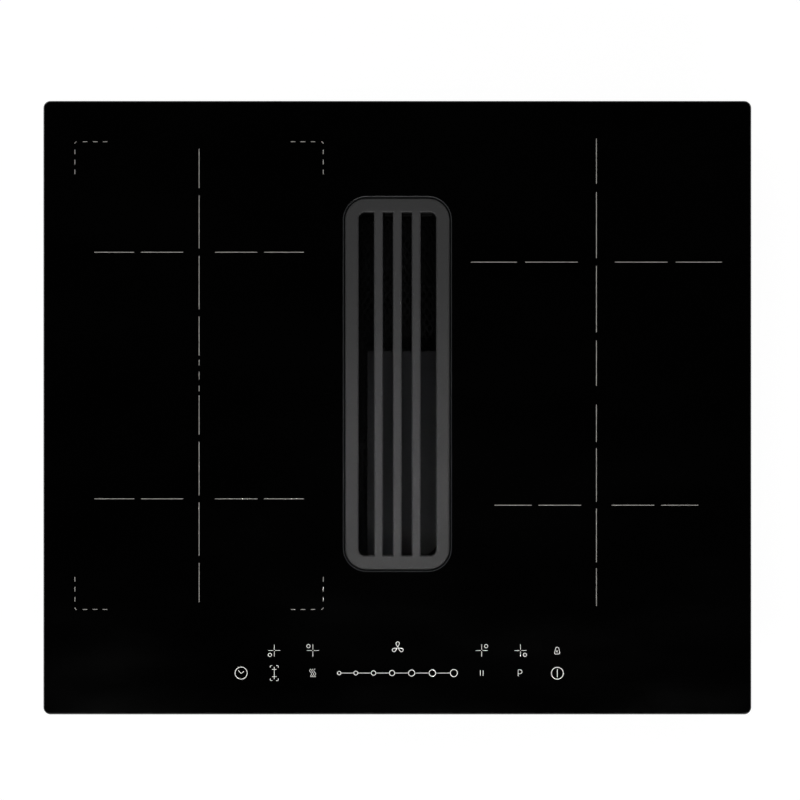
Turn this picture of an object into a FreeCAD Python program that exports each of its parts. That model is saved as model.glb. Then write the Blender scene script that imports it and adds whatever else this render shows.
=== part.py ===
"""Built-in induction cooktop with a central downdraft extractor, as an assembly of its real pieces.

Frame: millimetres, +Z up, +Y to the back, the touch controls at the front (-Y).
The origin is the centre of the glass in plan, at the worktop's top face, where the rim seal rests.
"""

import FreeCAD, Part
import math
import os
import re

import Sketcher
from FreeCAD import Placement, Rotation, Vector

# Driving dimensions in millimetres, and counts

SIZES = {
    # ceramic glass and the foam seal that carries it on the worktop
    "glass_width": 600.0,
    "glass_depth": 520.0,
    "glass_thick": 4.0,
    "glass_corner": 6.0,
    "glass_bevel": 0.8,
    "seal_thick": 2.0,
    "seal_width": 10.0,
    "seal_inset": 4.0,
    # air opening in the glass, and the grille that fills it
    "inlet_shift": 7.0,
    "opening_width": 90.6,
    "opening_most": 316.6,
    "opening_corner": 19.3,
    "grille_gap": 1.0,
    "grille_border": 11.5,
    "grille_end": 12.0,
    "grille_bar": 7.6,
    "grille_slot": 8.4,
    "grille_slot_corner": 5.0,
    "grille_thick": 10.0,
    "grille_proud": 0.5,
    "grille_bevel": 0.7,
    "pad_thick": 1.0,
    "pad_width": 2.6,
    "pad_length": 18.0,
    # moulded frame under the opening, with a ledge for the grille and one for the filter
    "frame_wall": 2.5,
    "frame_flange": 14.7,
    "flange_thick": 2.0,
    "ledge_width": 3.65,
    "ledge_step": 3.5,
    "insert_clear": 1.5,
    # sheet-steel tray that holds the electronics
    "tray_side_inset": 25.0,
    "tray_end_inset": 20.0,
    "tray_height": 52.0,
    "tray_corner": 8.0,
    "tray_sheet": 1.0,
    "tray_rim": 5.0,
    "vent_width": 4.0,
    "vent_length": 24.0,
    "vent_pitch": 12.0,
    "vent_count": 9,
    # cooking zones and the coils under them
    "zone_shift": 1.5,
    "flex_edge": 8.0,
    "rear_edge": 9.0,
    "front_edge": 13.0,
    "coil_spacing": 22.0,
    "flex_width_most": 172.0,
    "flex_depth_most": 186.0,
    "flex_corner_most": 60.0,
    "rear_radius_most": 100.0,
    "front_radius_most": 82.0,
    "coil_eye": 28.0,
    "coil_rim": 2.0,
    "mica_gap": 0.3,
    "mica_thick": 0.5,
    "winding_thick": 5.0,
    "former_thick": 2.0,
    "ferrite_length": 48.0,
    "ferrite_width": 12.0,
    "ferrite_thick": 4.0,
    "ferrite_count": 8,
    "sensor_radius": 6.0,
    "deck_clear": 4.0,
    "deck_front_gap": 10.0,
    "deck_back_gap": 7.0,
    "deck_sheet": 1.5,
    "deck_inset": 9.0,
    "post_radius": 4.0,
    # power electronics
    "board_side_gap": 8.0,
    "board_front_gap": 24.0,
    "board_back_gap": 18.0,
    "board_thick": 1.6,
    "spacer_height": 6.0,
    "spacer_radius": 3.5,
    "spacer_inset": 8.0,
    "sink_width": 54.0,
    "sink_length": 130.0,
    "sink_height": 22.0,
    "sink_base": 4.0,
    "sink_fin": 1.5,
    "sink_fin_count": 9,
    "capacitor_width": 18.0,
    "capacitor_length": 32.0,
    "capacitor_height": 22.0,
    "choke_radius": 16.0,
    "choke_bore": 7.0,
    "choke_height": 16.0,
    # cooling fans of the electronics
    "fan_side": 80.0,
    "fan_thick": 15.0,
    "fan_inset": 66.0,
    "fan_bore": 38.0,
    "fan_hub": 17.0,
    "fan_blade_clear": 1.2,
    "fan_blade_width": 18.0,
    "fan_blade_thick": 1.6,
    "fan_blade_count": 7,
    "fan_strut": 4.0,
    "fan_floor": 2.0,
    "fan_shaft": 2.0,
    "run_clear": 0.05,
    # touch control under the front edge of the glass
    "control_width": 300.0,
    "control_depth": 48.0,
    "control_height": 16.0,
    "control_inset": 48.0,
    "control_wall": 2.0,
    "touch_board_thick": 1.6,
    "touch_board_drop": 8.0,
    "touch_pitch": 33.0,
    "touch_count": 9,
    "touch_radius": 4.0,
    "display_width": 22.0,
    "display_depth": 11.0,
    "display_count": 5,
    "display_pitch": 52.0,
    # mains inlet at the back
    "terminal_inset": 70.0,
    "terminal_width": 64.0,
    "terminal_depth": 22.0,
    "terminal_height": 20.0,
    "gland_bore": 6.5,
    "gland_radius": 11.0,
    "gland_reach": 16.0,
    "gland_nut": 5.0,
    "gland_rise": 26.0,
    # suction box under the opening
    "box_margin": 4.7,
    "box_height": 155.0,
    "box_corner": 14.0,
    "box_wall": 2.5,
    "box_flange": 10.0,
    "box_rib": 2.0,
    # radial blower beside the suction box
    "blower_gap": 2.5,
    "blower_shift": 30.0,
    "wheel_radius": 70.0,
    "wheel_height": 55.0,
    "wheel_plate": 2.0,
    "wheel_blade": 1.2,
    "wheel_blade_depth": 14.0,
    "wheel_blade_count": 28,
    "wheel_clear": 5.0,
    "wheel_hub": 12.0,
    "wheel_hub_height": 24.0,
    "scroll_start": 84.0,
    "scroll_growth": 14.0,
    "scroll_wall": 2.5,
    "exit_width": 65.0,
    "exit_reach": 100.0,
    "exit_flange": 6.0,
    "plenum_height": 37.5,
    "plenum_half": 70.0,
    "eye_radius": 48.0,
    "eye_lip": 5.0,
    "shaft_radius": 4.0,
    "shaft_seat": 30.0,
    "motor_radius": 46.0,
    "motor_flange": 56.0,
    # duct collar for flat ducting
    "duct_width": 222.0,
    "duct_height": 89.0,
    "duct_wall": 2.5,
    "duct_collar": 40.0,
    "diffuser_length": 100.0,
    # filter cassette and drip tray, which lift out through the opening
    "rim_thick": 2.0,
    "cassette_depth": 86.0,
    "cassette_wall": 2.0,
    "cassette_lip": 5.0,
    # upturned finger lip on its back wall, the ends as shares of its width
    "finger_left": 0.15,
    "finger_right": 0.41,
    "finger_reach": 4.5,
    "finger_sheet": 1.0,
    "finger_rise": 1.5,
    "mesh_thick": 8.0,
    "deflector_gap": 8.5,
    "deflector_reach": 29.0,
    "deflector_drop": 34.0,
    "deflector_fall": 12.0,
    "deflector_sheet": 1.5,
    "deflector_lip": 6.0,
    "drip_height": 40.0,
    "drip_wall": 2.0,
    # leaf springs that grip the worktop cut-out, and screws
    "spring_reach": 5.0,
    "spring_height": 34.0,
    "spring_width": 16.0,
    "spring_sheet": 1.0,
    "spring_inset": 90.0,
    "screw_head": 3.8,
    "screw_head_height": 2.4,
    "screw_clear": 0.3,
}

doc = FreeCAD.newDocument("downdraft_cooktop")
sheet = doc.addObject("Spreadsheet::Sheet", "Sizes")
for row, (name, value) in enumerate(SIZES.items(), start=1):
    sheet.set(f"A{row}", name)
    sheet.set(f"B{row}", str(value))
    sheet.setAlias(f"B{row}", name)
doc.recompute()

# Sizes and places that follow from the ones above, so that the pieces keep together

DERIVED = {
    # the tray hangs inside the glass's edge, and the coil decks fill it beside the inlet
    "tray_width": "glass_width - 2 * tray_side_inset",
    "tray_depth": "glass_depth - 2 * tray_end_inset",
    "control_y": "control_inset - glass_depth / 2",
    "inlet_half": "opening_width / 2 + frame_flange",
    "deck_width": "tray_width / 2 - tray_sheet - inlet_half - 2 * deck_clear",
    "deck_x": "(tray_width / 2 - tray_sheet + inlet_half) / 2",
    "deck_front": "control_y + control_depth / 2 + deck_front_gap",
    "deck_back": "tray_depth / 2 - tray_sheet - deck_back_gap",
    "deck_depth": "deck_back - deck_front",
    "deck_y": "(deck_back + deck_front) / 2",
    # the coils take their own sizes as far as their deck has room, and stand off its edges
    "flex_coil_width": "min(flex_width_most; deck_width - 2 * flex_edge)",
    "flex_coil_depth": "min(flex_depth_most; (deck_depth - 2 * flex_edge - coil_spacing) / 2)",
    "flex_coil_corner": "min(flex_corner_most; flex_coil_width / 2 - 1; flex_coil_depth / 2 - 1)",
    "round_room": "(deck_depth - rear_edge - front_edge - coil_spacing) / 2",
    "half_room": "deck_width / 2 - deck_clear + zone_shift",
    "front_coil_radius": "min(front_radius_most; round_room / 2; half_room)",
    "rear_coil_radius": "min(rear_radius_most; round_room - front_coil_radius; half_room)",
    "zone_x": "deck_x + zone_shift",
    "left_rear_y": "deck_back - flex_edge - flex_coil_depth / 2",
    "left_front_y": "deck_front + flex_edge + flex_coil_depth / 2",
    "right_rear_y": "deck_back - rear_edge - rear_coil_radius",
    "right_front_y": "deck_front + front_edge + front_coil_radius",
    # the opening runs between the decks, and the air path below it follows
    "inlet_y": "deck_y - inlet_shift",
    "opening_length": "min(opening_most; deck_depth - 2 * frame_flange - 2 * inlet_shift)",
    "box_width": "opening_width + 2 * box_margin",
    "box_length": "opening_length + 2 * box_margin",
    "blower_x": "box_width / 2 + blower_gap + scroll_wall + scroll_start + scroll_growth / 2",
    "blower_y": "inlet_y - blower_shift",
    "deflector_left": "cassette_wall + deflector_gap - (opening_width - 4 * ledge_width) / 2 + insert_clear",
    "deflector_back": "inlet_y + deflector_reach",
    # the electronics share the tray's floor
    "fan_y": "deck_front + fan_inset",
    "terminal_x": "terminal_inset - tray_width / 2",
    "terminal_y": "tray_depth / 2 - tray_sheet - gland_nut - 1.5 * terminal_depth",
    "board_width": "deck_width - 2 * board_side_gap",
    "board_front": "fan_y + fan_side / 2 + board_front_gap",
    "board_back": "terminal_y - terminal_depth / 2 - board_back_gap",
    "board_depth": "board_back - board_front",
    "board_y": "(board_back + board_front) / 2",
    "spring_y": "tray_depth / 2 - spring_inset",
}

# Levels and lengths that several pieces share, as expressions of the sizes above

GLASS_TOP = "(seal_thick + glass_thick)"
FLOOR = "(seal_thick - tray_height)"
FLOOR_TOP = "(seal_thick - tray_height + tray_sheet)"
GRILLE_BOTTOM = f"({GLASS_TOP} + grille_proud - grille_thick)"
LEDGE = f"({GRILLE_BOTTOM} - pad_thick)"
RIM_LEDGE = f"({LEDGE} - ledge_step)"
RECESS_WIDTH = "(opening_width - 2 * ledge_width)"
RECESS_LENGTH = "(opening_length - 2 * ledge_width)"
RECESS_CORNER = "(opening_corner - ledge_width)"
THROAT_WIDTH = "(opening_width - 4 * ledge_width)"
THROAT_LENGTH = "(opening_length - 4 * ledge_width)"
THROAT_CORNER = "(opening_corner - 2 * ledge_width)"
MICA_TOP = "(seal_thick - mica_gap)"
WINDING_TOP = f"({MICA_TOP} - mica_thick)"
FORMER_TOP = f"({WINDING_TOP} - winding_thick)"
FERRITE_TOP = f"({FORMER_TOP} - former_thick)"
DECK_TOP = f"({FERRITE_TOP} - ferrite_thick)"
DECK_BOTTOM = f"({DECK_TOP} - deck_sheet)"
BOARD_BOTTOM = f"({FLOOR_TOP} + spacer_height)"
BOARD_TOP = f"({BOARD_BOTTOM} + board_thick)"
BOX_BOTTOM = f"({FLOOR} - box_height)"
SCROLL_TOP = f"({FLOOR} - plenum_height)"
SCROLL_ROOM = "(wheel_height + 2 * wheel_clear)"
SCROLL_INSIDE_TOP = f"({SCROLL_TOP} - scroll_wall)"
SCROLL_INSIDE_BOTTOM = f"({SCROLL_INSIDE_TOP} - {SCROLL_ROOM})"
SCROLL_BOTTOM = f"({SCROLL_INSIDE_BOTTOM} - scroll_wall)"
WHEEL_BOTTOM = f"({SCROLL_INSIDE_BOTTOM} + wheel_clear)"
EXIT_Y = "(blower_y + exit_reach)"
SCROLL_MIDDLE = f"({SCROLL_INSIDE_TOP} - {SCROLL_ROOM} / 2)"
SCROLL_RIGHT = "(scroll_growth / 2 + scroll_start + 2 * scroll_growth)"
DUCT_X = f"(blower_x + {SCROLL_RIGHT} + scroll_wall - duct_width / 2)"

SIDES = {"left": -1, "right": 1}
COILS = {
    "rear_left": ("-zone_x", "left_rear_y"),
    "front_left": ("-zone_x", "left_front_y"),
    "rear_right": ("zone_x", "right_rear_y"),
    "front_right": ("zone_x", "right_front_y"),
}
COIL_SIDES = 24
CORNER_CHORDS = 4
MOTOR_SIDES = 36
ROUND_COILS = {"rear_right": "rear_coil_radius", "front_right": "front_coil_radius"}
WORD = re.compile(r"[a-z_][a-z_0-9]*")


def spelled(text):
    """An expression with each derived name written out in the sheet's own sizes."""
    while any(word in DERIVED for word in WORD.findall(text)):
        text = WORD.sub(lambda m: f"({DERIVED[m.group()]})" if m.group() in DERIVED else m.group(), text)
    return text


def size(text):
    """The value of an expression of the sizes."""
    return float(sheet.evalExpression(spelled(text)))


def linked(text):
    """The same expression as another object writes it, with the sheet's name before each size."""
    return WORD.sub(lambda m: f"Sizes.{m.group()}" if m.group() in SIZES else m.group(), spelled(text))


def bind(thing, **properties):
    """Ties properties of an object to expressions of the sheet's sizes."""
    for name, text in properties.items():
        thing.setExpression(name.replace("__", "."), linked(text))


def place(thing, x="0", y="0", z="0"):
    """Ties an object's place to expressions of the sheet's sizes."""
    bind(thing, Placement__Base__x=x, Placement__Base__y=y, Placement__Base__z=z)
    return thing


# Sketches and features

NORMAL_SIGN = {"XY": 1, "XZ": -1, "YZ": 1}


def origin_feature(body, role):
    return next(f for f in body.Origin.OriginFeatures if f.Role == role)


def new_body(label):
    body = doc.addObject("PartDesign::Body", label)
    body.Label = label
    return body


class Drawing:
    """A sketch on one of its body's own planes, at a height along the axis that the plane is square to."""

    def __init__(self, body, plane="XY", at="0"):
        self.sketch = body.newObject("Sketcher::SketchObject", "sketch")
        self.sketch.AttachmentSupport = [(origin_feature(body, plane + "_Plane"), "")]
        self.sketch.MapMode = "FlatFace"
        sign = "" if NORMAL_SIGN[plane] > 0 else "-"
        self.sketch.setExpression("AttachmentOffset.Base.z", linked(f"{sign}({at})"))

    def limit(self, kind, text, *where):
        """One dimension, tied to an expression."""
        index = self.sketch.addConstraint(Sketcher.Constraint(kind, *where, size(text)))
        self.sketch.setExpression(f"Constraints[{index}]", linked(text))

    def pin(self, element, point, x, y):
        """Holds a point of an element at a place measured from the sketch's origin."""
        self.limit("DistanceX", x, -1, 1, element, point)
        self.limit("DistanceY", y, -1, 1, element, point)

    def circle(self, x, y, radius):
        shape = Part.Circle(Vector(size(x), size(y), 0), Vector(0, 0, 1), size(radius))
        element = self.sketch.addGeometry(shape)
        self.pin(element, 3, x, y)
        self.limit("Radius", radius, element)
        return self

    def polygon(self, points):
        """Straight lines through points, each given as a pair of expressions."""
        places = [Vector(size(x), size(y), 0) for x, y in points]
        first = self.sketch.GeometryCount
        count = len(places)
        for i in range(count):
            self.sketch.addGeometry(Part.LineSegment(places[i], places[(i + 1) % count]))
        for i, (x, y) in enumerate(points):
            self.sketch.addConstraint(
                Sketcher.Constraint("Coincident", first + i, 2, first + (i + 1) % count, 1)
            )
            self.pin(first + i, 1, x, y)
        return self

    def regular(self, x, y, radius, sides):
        """Corners evenly round a centre, for a round piece that is made with flats."""
        turns = [2 * math.pi * i / sides for i in range(sides)]
        return self.polygon(
            [
                (f"({x}) + {math.cos(a):.9f} * ({radius})", f"({y}) + {math.sin(a):.9f} * ({radius})")
                for a in turns
            ]
        )

    def rectangle(self, x, y, width, depth):
        left, right = f"({x}) - ({width}) / 2", f"({x}) + ({width}) / 2"
        front, back = f"({y}) - ({depth}) / 2", f"({y}) + ({depth}) / 2"
        return self.polygon([(left, front), (right, front), (right, back), (left, back)])

    def rounded(self, x, y, width, depth, radius):
        """A rectangle centred at x, y with four equal corner arcs."""
        cx, cy, r = size(x), size(y), size(radius)
        half_w, half_d = size(width) / 2, size(depth) / 2
        first = self.sketch.GeometryCount
        turns = [(1, -1), (1, 1), (-1, 1), (-1, -1)]
        centres = [Vector(cx + i * (half_w - r), cy + j * (half_d - r), 0) for i, j in turns]
        for i, centre in enumerate(centres):
            before, angle = centres[i - 1], (i - 1) * math.pi / 2
            out = Vector(math.cos(angle), math.sin(angle), 0) * r
            self.sketch.addGeometry(Part.LineSegment(before + out, centre + out))
            arc = Part.ArcOfCircle(
                Part.Circle(centre, Vector(0, 0, 1), r), angle, angle + math.pi / 2
            )
            self.sketch.addGeometry(arc)
        for i in range(4):
            line, arc = first + 2 * i, first + 2 * i + 1
            after = first + (2 * i + 2) % 8
            self.sketch.addConstraint(Sketcher.Constraint("Tangent", line, 2, arc, 1))
            self.sketch.addConstraint(Sketcher.Constraint("Tangent", arc, 2, after, 1))
            self.sketch.addConstraint(
                Sketcher.Constraint("Horizontal" if i % 2 == 0 else "Vertical", line)
            )
            if i:
                self.sketch.addConstraint(Sketcher.Constraint("Equal", first + 1, arc))
        self.limit("Radius", radius, first + 1)
        self.limit("DistanceX", f"({x}) + ({width}) / 2", -1, 1, first + 2, 1)
        self.limit("DistanceX", f"({x}) - ({width}) / 2", -1, 1, first + 6, 1)
        self.limit("DistanceY", f"({y}) - ({depth}) / 2", -1, 1, first, 1)
        self.limit("DistanceY", f"({y}) + ({depth}) / 2", -1, 1, first + 4, 1)
        return self

    def faceted(self, x, y, width, depth, radius, chords):
        """The same rectangle with each corner bent in equal chords, for folded sheet and hidden pieces."""
        points = []
        for i, (side, end) in enumerate([(1, 1), (-1, 1), (-1, -1), (1, -1)]):
            for j in range(chords + 1):
                angle = math.pi / 2 * (i + j / chords)
                across = f"{side} * (({width}) / 2 - ({radius})) + {math.cos(angle):.9f} * ({radius})"
                along = f"{end} * (({depth}) / 2 - ({radius})) + {math.sin(angle):.9f} * ({radius})"
                points.append((f"({x}) + {across}", f"({y}) + {along}"))
        return self.polygon(points)

    def line(self, start, end):
        element = self.sketch.addGeometry(
            Part.LineSegment(Vector(*map(size, start), 0), Vector(*map(size, end), 0))
        )
        self.pin(element, 1, *start)
        self.pin(element, 2, *end)
        return self

    def arc(self, centre, radius, start, end, start_limit, end_limit):
        """An arc from one angle to another, anticlockwise, in degrees. Each limit is the kind of
        dimension and the expression that holds that end of it."""
        circle = Part.Circle(Vector(*map(size, centre), 0), Vector(0, 0, 1), size(radius))
        shape = Part.ArcOfCircle(circle, math.radians(start), math.radians(end))
        element = self.sketch.addGeometry(shape)
        self.pin(element, 3, *centre)
        self.limit("Radius", radius, element)
        for point, (kind, text) in ((1, start_limit), (2, end_limit)):
            self.limit(kind, text, -1, 1, element, point)
        return self


def pad(body, drawing, length, down=False):
    """Adds material from the drawing along its positive axis, or the other way."""
    feature = body.newObject("PartDesign::Pad", "pad")
    feature.Profile = drawing.sketch
    bind(feature, Length=length)
    plane = drawing.sketch.AttachmentSupport[0][0].Role[:2]
    feature.Reversed = down == (NORMAL_SIGN[plane] > 0)
    doc.recompute()
    return feature


def cut(body, drawing, depth, up=False):
    """Takes material away along the drawing's negative axis, or the positive one, and proves that it did."""
    before = body.Shape.Volume
    feature = body.newObject("PartDesign::Pocket", "pocket")
    feature.Profile = drawing.sketch
    bind(feature, Length=depth)
    plane = drawing.sketch.AttachmentSupport[0][0].Role[:2]
    feature.Reversed = up == (NORMAL_SIGN[plane] > 0)
    doc.recompute()
    if body.Shape.Volume >= before:
        raise RuntimeError(f"a cut in {body.Label} took nothing away")
    return feature


def repeat(body, feature, axis, pitch, count):
    """A row of copies of a feature along an axis of its body, at the pitch given."""
    pattern = body.newObject("PartDesign::LinearPattern", "row")
    pattern.Originals = [feature]
    pattern.Direction = (origin_feature(body, axis + "_Axis"), [""])
    bind(pattern, Length=f"({pitch}) * ({count} - 1)", Occurrences=count)
    body.Tip = pattern
    doc.recompute()
    return pattern


def repeat_round(body, feature, count):
    """Copies of a feature around its body's own Z axis."""
    pattern = body.newObject("PartDesign::PolarPattern", "ring")
    pattern.Originals = [feature]
    pattern.Axis = (origin_feature(body, "Z_Axis"), [""])
    pattern.Angle = 360
    bind(pattern, Occurrences=count)
    body.Tip = pattern
    doc.recompute()
    return pattern


def edges_at(body, height):
    """Names of the edges of a body that lie flat at a height of the row's frame."""
    level = size(height)
    found = []
    for i, edge in enumerate(body.Tip.Shape.Edges, start=1):
        box = edge.BoundBox
        if abs(box.ZMin - level) < 1e-6 and abs(box.ZMax - level) < 1e-6:
            found.append(f"Edge{i}")
    return found


def chamfer(body, edges, width):
    base = body.Tip
    feature = body.newObject("PartDesign::Chamfer", "bevel")
    feature.Base = (base, edges)
    bind(feature, Size=width)
    body.Tip = feature
    doc.recompute()
    return feature


def fillet(body, edges, radius):
    base = body.Tip
    feature = body.newObject("PartDesign::Fillet", "round")
    feature.Base = (base, edges)
    bind(feature, Radius=radius)
    body.Tip = feature
    doc.recompute()
    return feature


# Plain solids, and groups of like pieces


def block(x, y, z, length, width, height):
    """A box centred on x, y that stands on z."""
    box = doc.addObject("Part::Box", "block")
    bind(box, Length=length, Width=width, Height=height)
    return place(box, f"({x}) - ({length}) / 2", f"({y}) - ({width}) / 2", z)


def prism(x, y, z, radius, height, sides=6):
    """An upright bar with flats on x, y that stands on z."""
    bar = doc.addObject("Part::Prism", "prism")
    bar.Polygon = sides
    bind(bar, Circumradius=radius, Height=height)
    return place(bar, x, y, z)


def less(base, tool):
    piece = doc.addObject("Part::Cut", "less")
    piece.Base, piece.Tool = base, tool
    return piece


def sleeve(x, y, z, radius, bore, height, sides):
    """A short tube with flats on x, y that stands on z."""
    return less(prism(x, y, z, radius, height, sides), prism(x, y, z, bore, height, sides))


def joined(*solids):
    piece = doc.addObject("Part::MultiFuse", "joined")
    piece.Shapes = list(solids)
    return piece


def group(label, solids):
    """Separate like pieces under one name."""
    pieces = doc.addObject("Part::Compound", label)
    pieces.Label = label
    pieces.Links = solids
    return pieces


def corners(x, y, half_x, half_y):
    """Four places round a centre."""
    return [(f"({x}) + {i} * ({half_x})", f"({y}) + {j} * ({half_y})") for i in (-1, 1) for j in (-1, 1)]


# Glass plate: one sheet with a bevelled edge and a long opening for the grille


def glass_top():
    body = new_body("glass_top")
    plan = Drawing(body, at="seal_thick")
    plan.rounded("0", "0", "glass_width", "glass_depth", "glass_corner")
    plan.rounded("0", "inlet_y", "opening_width", "opening_length", "opening_corner")
    pad(body, plan, "glass_thick")
    chamfer(body, edges_at(body, GLASS_TOP), "glass_bevel")
    return body


def worktop_seal():
    """Foam strip round the rim: its underside is what the worktop carries."""
    body = new_body("worktop_seal")
    plan = Drawing(body)
    outside = ("glass_width - 2 * seal_inset", "glass_depth - 2 * seal_inset")
    plan.faceted("0", "0", *outside, "glass_corner", CORNER_CHORDS)
    inside = [f"{length} - 2 * seal_width" for length in outside]
    plan.faceted("0", "0", *inside, "glass_corner", CORNER_CHORDS)
    pad(body, plan, "seal_thick")
    return body


# Inlet frame: moulded under the opening, with stepped ledges and a throat down through the tray


def inlet_frame():
    body = new_body("inlet_frame")
    flange = Drawing(body, at="seal_thick - flange_thick")
    flange.faceted(
        "0",
        "inlet_y",
        "opening_width + 2 * frame_flange",
        "opening_length + 2 * frame_flange",
        "opening_corner + frame_flange",
        CORNER_CHORDS,
    )
    pad(body, flange, "flange_thick")
    shoulder = Drawing(body, at="seal_thick")
    shoulder.faceted(
        "0",
        "inlet_y",
        "opening_width + 2 * frame_wall",
        "opening_length + 2 * frame_wall",
        "opening_corner + frame_wall",
        CORNER_CHORDS,
    )
    pad(body, shoulder, f"seal_thick - {RIM_LEDGE} + frame_wall", down=True)
    throat = Drawing(body, at=RIM_LEDGE)
    throat.faceted(
        "0",
        "inlet_y",
        f"{THROAT_WIDTH} + 2 * frame_wall",
        f"{THROAT_LENGTH} + 2 * frame_wall",
        f"{THROAT_CORNER} + frame_wall",
        CORNER_CHORDS,
    )
    pad(body, throat, f"{RIM_LEDGE} - {FLOOR} + box_wall", down=True)
    mouth = Drawing(body, at="seal_thick")
    mouth.rounded("0", "inlet_y", "opening_width", "opening_length", "opening_corner")
    cut(body, mouth, f"seal_thick - {LEDGE}")
    steps = [
        (RECESS_WIDTH, RECESS_LENGTH, RECESS_CORNER, f"seal_thick - {RIM_LEDGE}"),
        (THROAT_WIDTH, THROAT_LENGTH, THROAT_CORNER, f"seal_thick - {FLOOR} + 2 * box_wall"),
    ]
    for width, length, corner, depth in steps:
        hollow = Drawing(body, at="seal_thick")
        hollow.faceted("0", "inlet_y", width, length, corner, CORNER_CHORDS)
        cut(body, hollow, depth)
    return body


# Air grille: one casting with long bars, on rubber pads, which lifts out by hand

GRILLE_WIDTH = "(opening_width - 2 * grille_gap)"
GRILLE_LENGTH = "(opening_length - 2 * grille_gap)"
GRILLE_CORNER = "(opening_corner - grille_gap)"
INNER_WIDTH = f"({GRILLE_WIDTH} - 2 * grille_border)"
INNER_LENGTH = f"({GRILLE_LENGTH} - 2 * grille_end)"


def air_grille():
    body = new_body("air_grille")
    plan = Drawing(body, at=GRILLE_BOTTOM)
    plan.rounded("0", "inlet_y", GRILLE_WIDTH, GRILLE_LENGTH, GRILLE_CORNER)
    plan.rounded("0", "inlet_y", INNER_WIDTH, INNER_LENGTH, "grille_slot_corner")
    pad(body, plan, "grille_thick")
    bar = Drawing(body, at=GRILLE_BOTTOM)
    bar.rectangle(
        "-(grille_bar + grille_slot)", "inlet_y", "grille_bar", f"{INNER_LENGTH} + grille_end"
    )
    repeat(body, pad(body, bar, "grille_thick"), "X", "grille_bar + grille_slot", "3")
    chamfer(body, edges_at(body, f"{GRILLE_BOTTOM} + grille_thick"), "grille_bevel")
    return body


def grille_pads():
    """Rubber strips under the grille's border, which rest on the upper ledge."""
    half_x, half_y = f"({GRILLE_WIDTH} / 2 - pad_width / 2)", f"({GRILLE_LENGTH} / 2 - 2 * opening_corner)"
    strips = [
        block(x, y, LEDGE, "pad_width", "pad_length", "pad_thick")
        for x, y in corners("0", "inlet_y", half_x, half_y)
    ]
    return group("grille_pads", strips)


# Base tray: folded sheet steel with vents, bonded under the glass by its rim

OPENING_CLEAR = "(frame_wall + insert_clear)"


def base_tray():
    body = new_body("base_tray")
    pan = Drawing(body, at=FLOOR)
    pan.faceted("0", "0", "tray_width", "tray_depth", "tray_corner", CORNER_CHORDS)
    pad(body, pan, "tray_height")
    rim = Drawing(body, at="seal_thick")
    rim.faceted(
        "0",
        "0",
        "tray_width + 2 * tray_rim",
        "tray_depth + 2 * tray_rim",
        "tray_corner + tray_rim",
        CORNER_CHORDS,
    )
    pad(body, rim, "tray_sheet", down=True)
    hollow = Drawing(body, at="seal_thick")
    hollow.faceted(
        "0",
        "0",
        "tray_width - 2 * tray_sheet",
        "tray_depth - 2 * tray_sheet",
        "tray_corner - tray_sheet",
        CORNER_CHORDS,
    )
    cut(body, hollow, "tray_height - tray_sheet")
    holes = Drawing(body, at=FLOOR_TOP)
    holes.faceted(
        "0",
        "inlet_y",
        f"{THROAT_WIDTH} + 2 * {OPENING_CLEAR}",
        f"{THROAT_LENGTH} + 2 * {OPENING_CLEAR}",
        f"{THROAT_CORNER} + {OPENING_CLEAR}",
        CORNER_CHORDS,
    )
    cut(body, holes, "tray_sheet")
    inlet = Drawing(body, "XZ", at="tray_depth / 2")
    inlet.circle("terminal_x", f"{FLOOR} + gland_rise", "gland_radius - gland_nut / 2")
    cut(body, inlet, "tray_sheet")
    for sign in SIDES.values():
        intake = Drawing(body, at=FLOOR_TOP)
        first = f"{sign} * zone_x - vent_pitch * 2"
        intake.rectangle(first, "fan_y", "vent_width", "2 * vent_length")
        repeat(body, cut(body, intake, "tray_sheet"), "X", "vent_pitch", "5")
        wall_vent = Drawing(body, "YZ", at=f"{sign} * tray_width / 2 + tray_sheet")
        first = "-vent_pitch * (vent_count - 1) / 2"
        wall_vent.rectangle(first, f"{FLOOR} + tray_height / 2", "vent_width", "vent_length")
        repeat(body, cut(body, wall_vent, "2 * tray_sheet"), "Y", "vent_pitch", "vent_count")
    return body


# Induction coils: winding in a moulded former over ferrite bars, on an aluminium deck pressed to the glass


def coil_outline(drawing, name, grow):
    """The coil's own outline, grown or shrunk all round."""
    x, y = COILS[name]
    if name in ROUND_COILS:
        return drawing.regular(x, y, f"{ROUND_COILS[name]} + ({grow})", COIL_SIDES)
    return drawing.faceted(
        x,
        y,
        f"flex_coil_width + 2 * ({grow})",
        f"flex_coil_depth + 2 * ({grow})",
        f"flex_coil_corner + ({grow})",
        CORNER_CHORDS,
    )


def coil_winding(name):
    """Litz wire wound flat round an open eye."""
    body = new_body(f"coil_winding_{name}")
    ring = coil_outline(Drawing(body, at=FORMER_TOP), name, "0")
    ring.regular(*COILS[name], "coil_eye", COIL_SIDES)
    pad(body, ring, "winding_thick")
    return body


def coil_former(name):
    """Moulded dish that holds the winding, with a hub for the sensor in its eye."""
    x, y = COILS[name]
    body = new_body(f"coil_former_{name}")
    dish = coil_outline(Drawing(body, at=FERRITE_TOP), name, "coil_rim + mica_gap")
    dish.regular(x, y, "sensor_radius + mica_gap", 6)
    pad(body, dish, "former_thick")
    hub = Drawing(body, at=FORMER_TOP).regular(x, y, "coil_eye - coil_rim", COIL_SIDES)
    hub.regular(x, y, "sensor_radius + mica_gap", 6)
    pad(body, hub, "winding_thick / 2")
    return body


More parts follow.
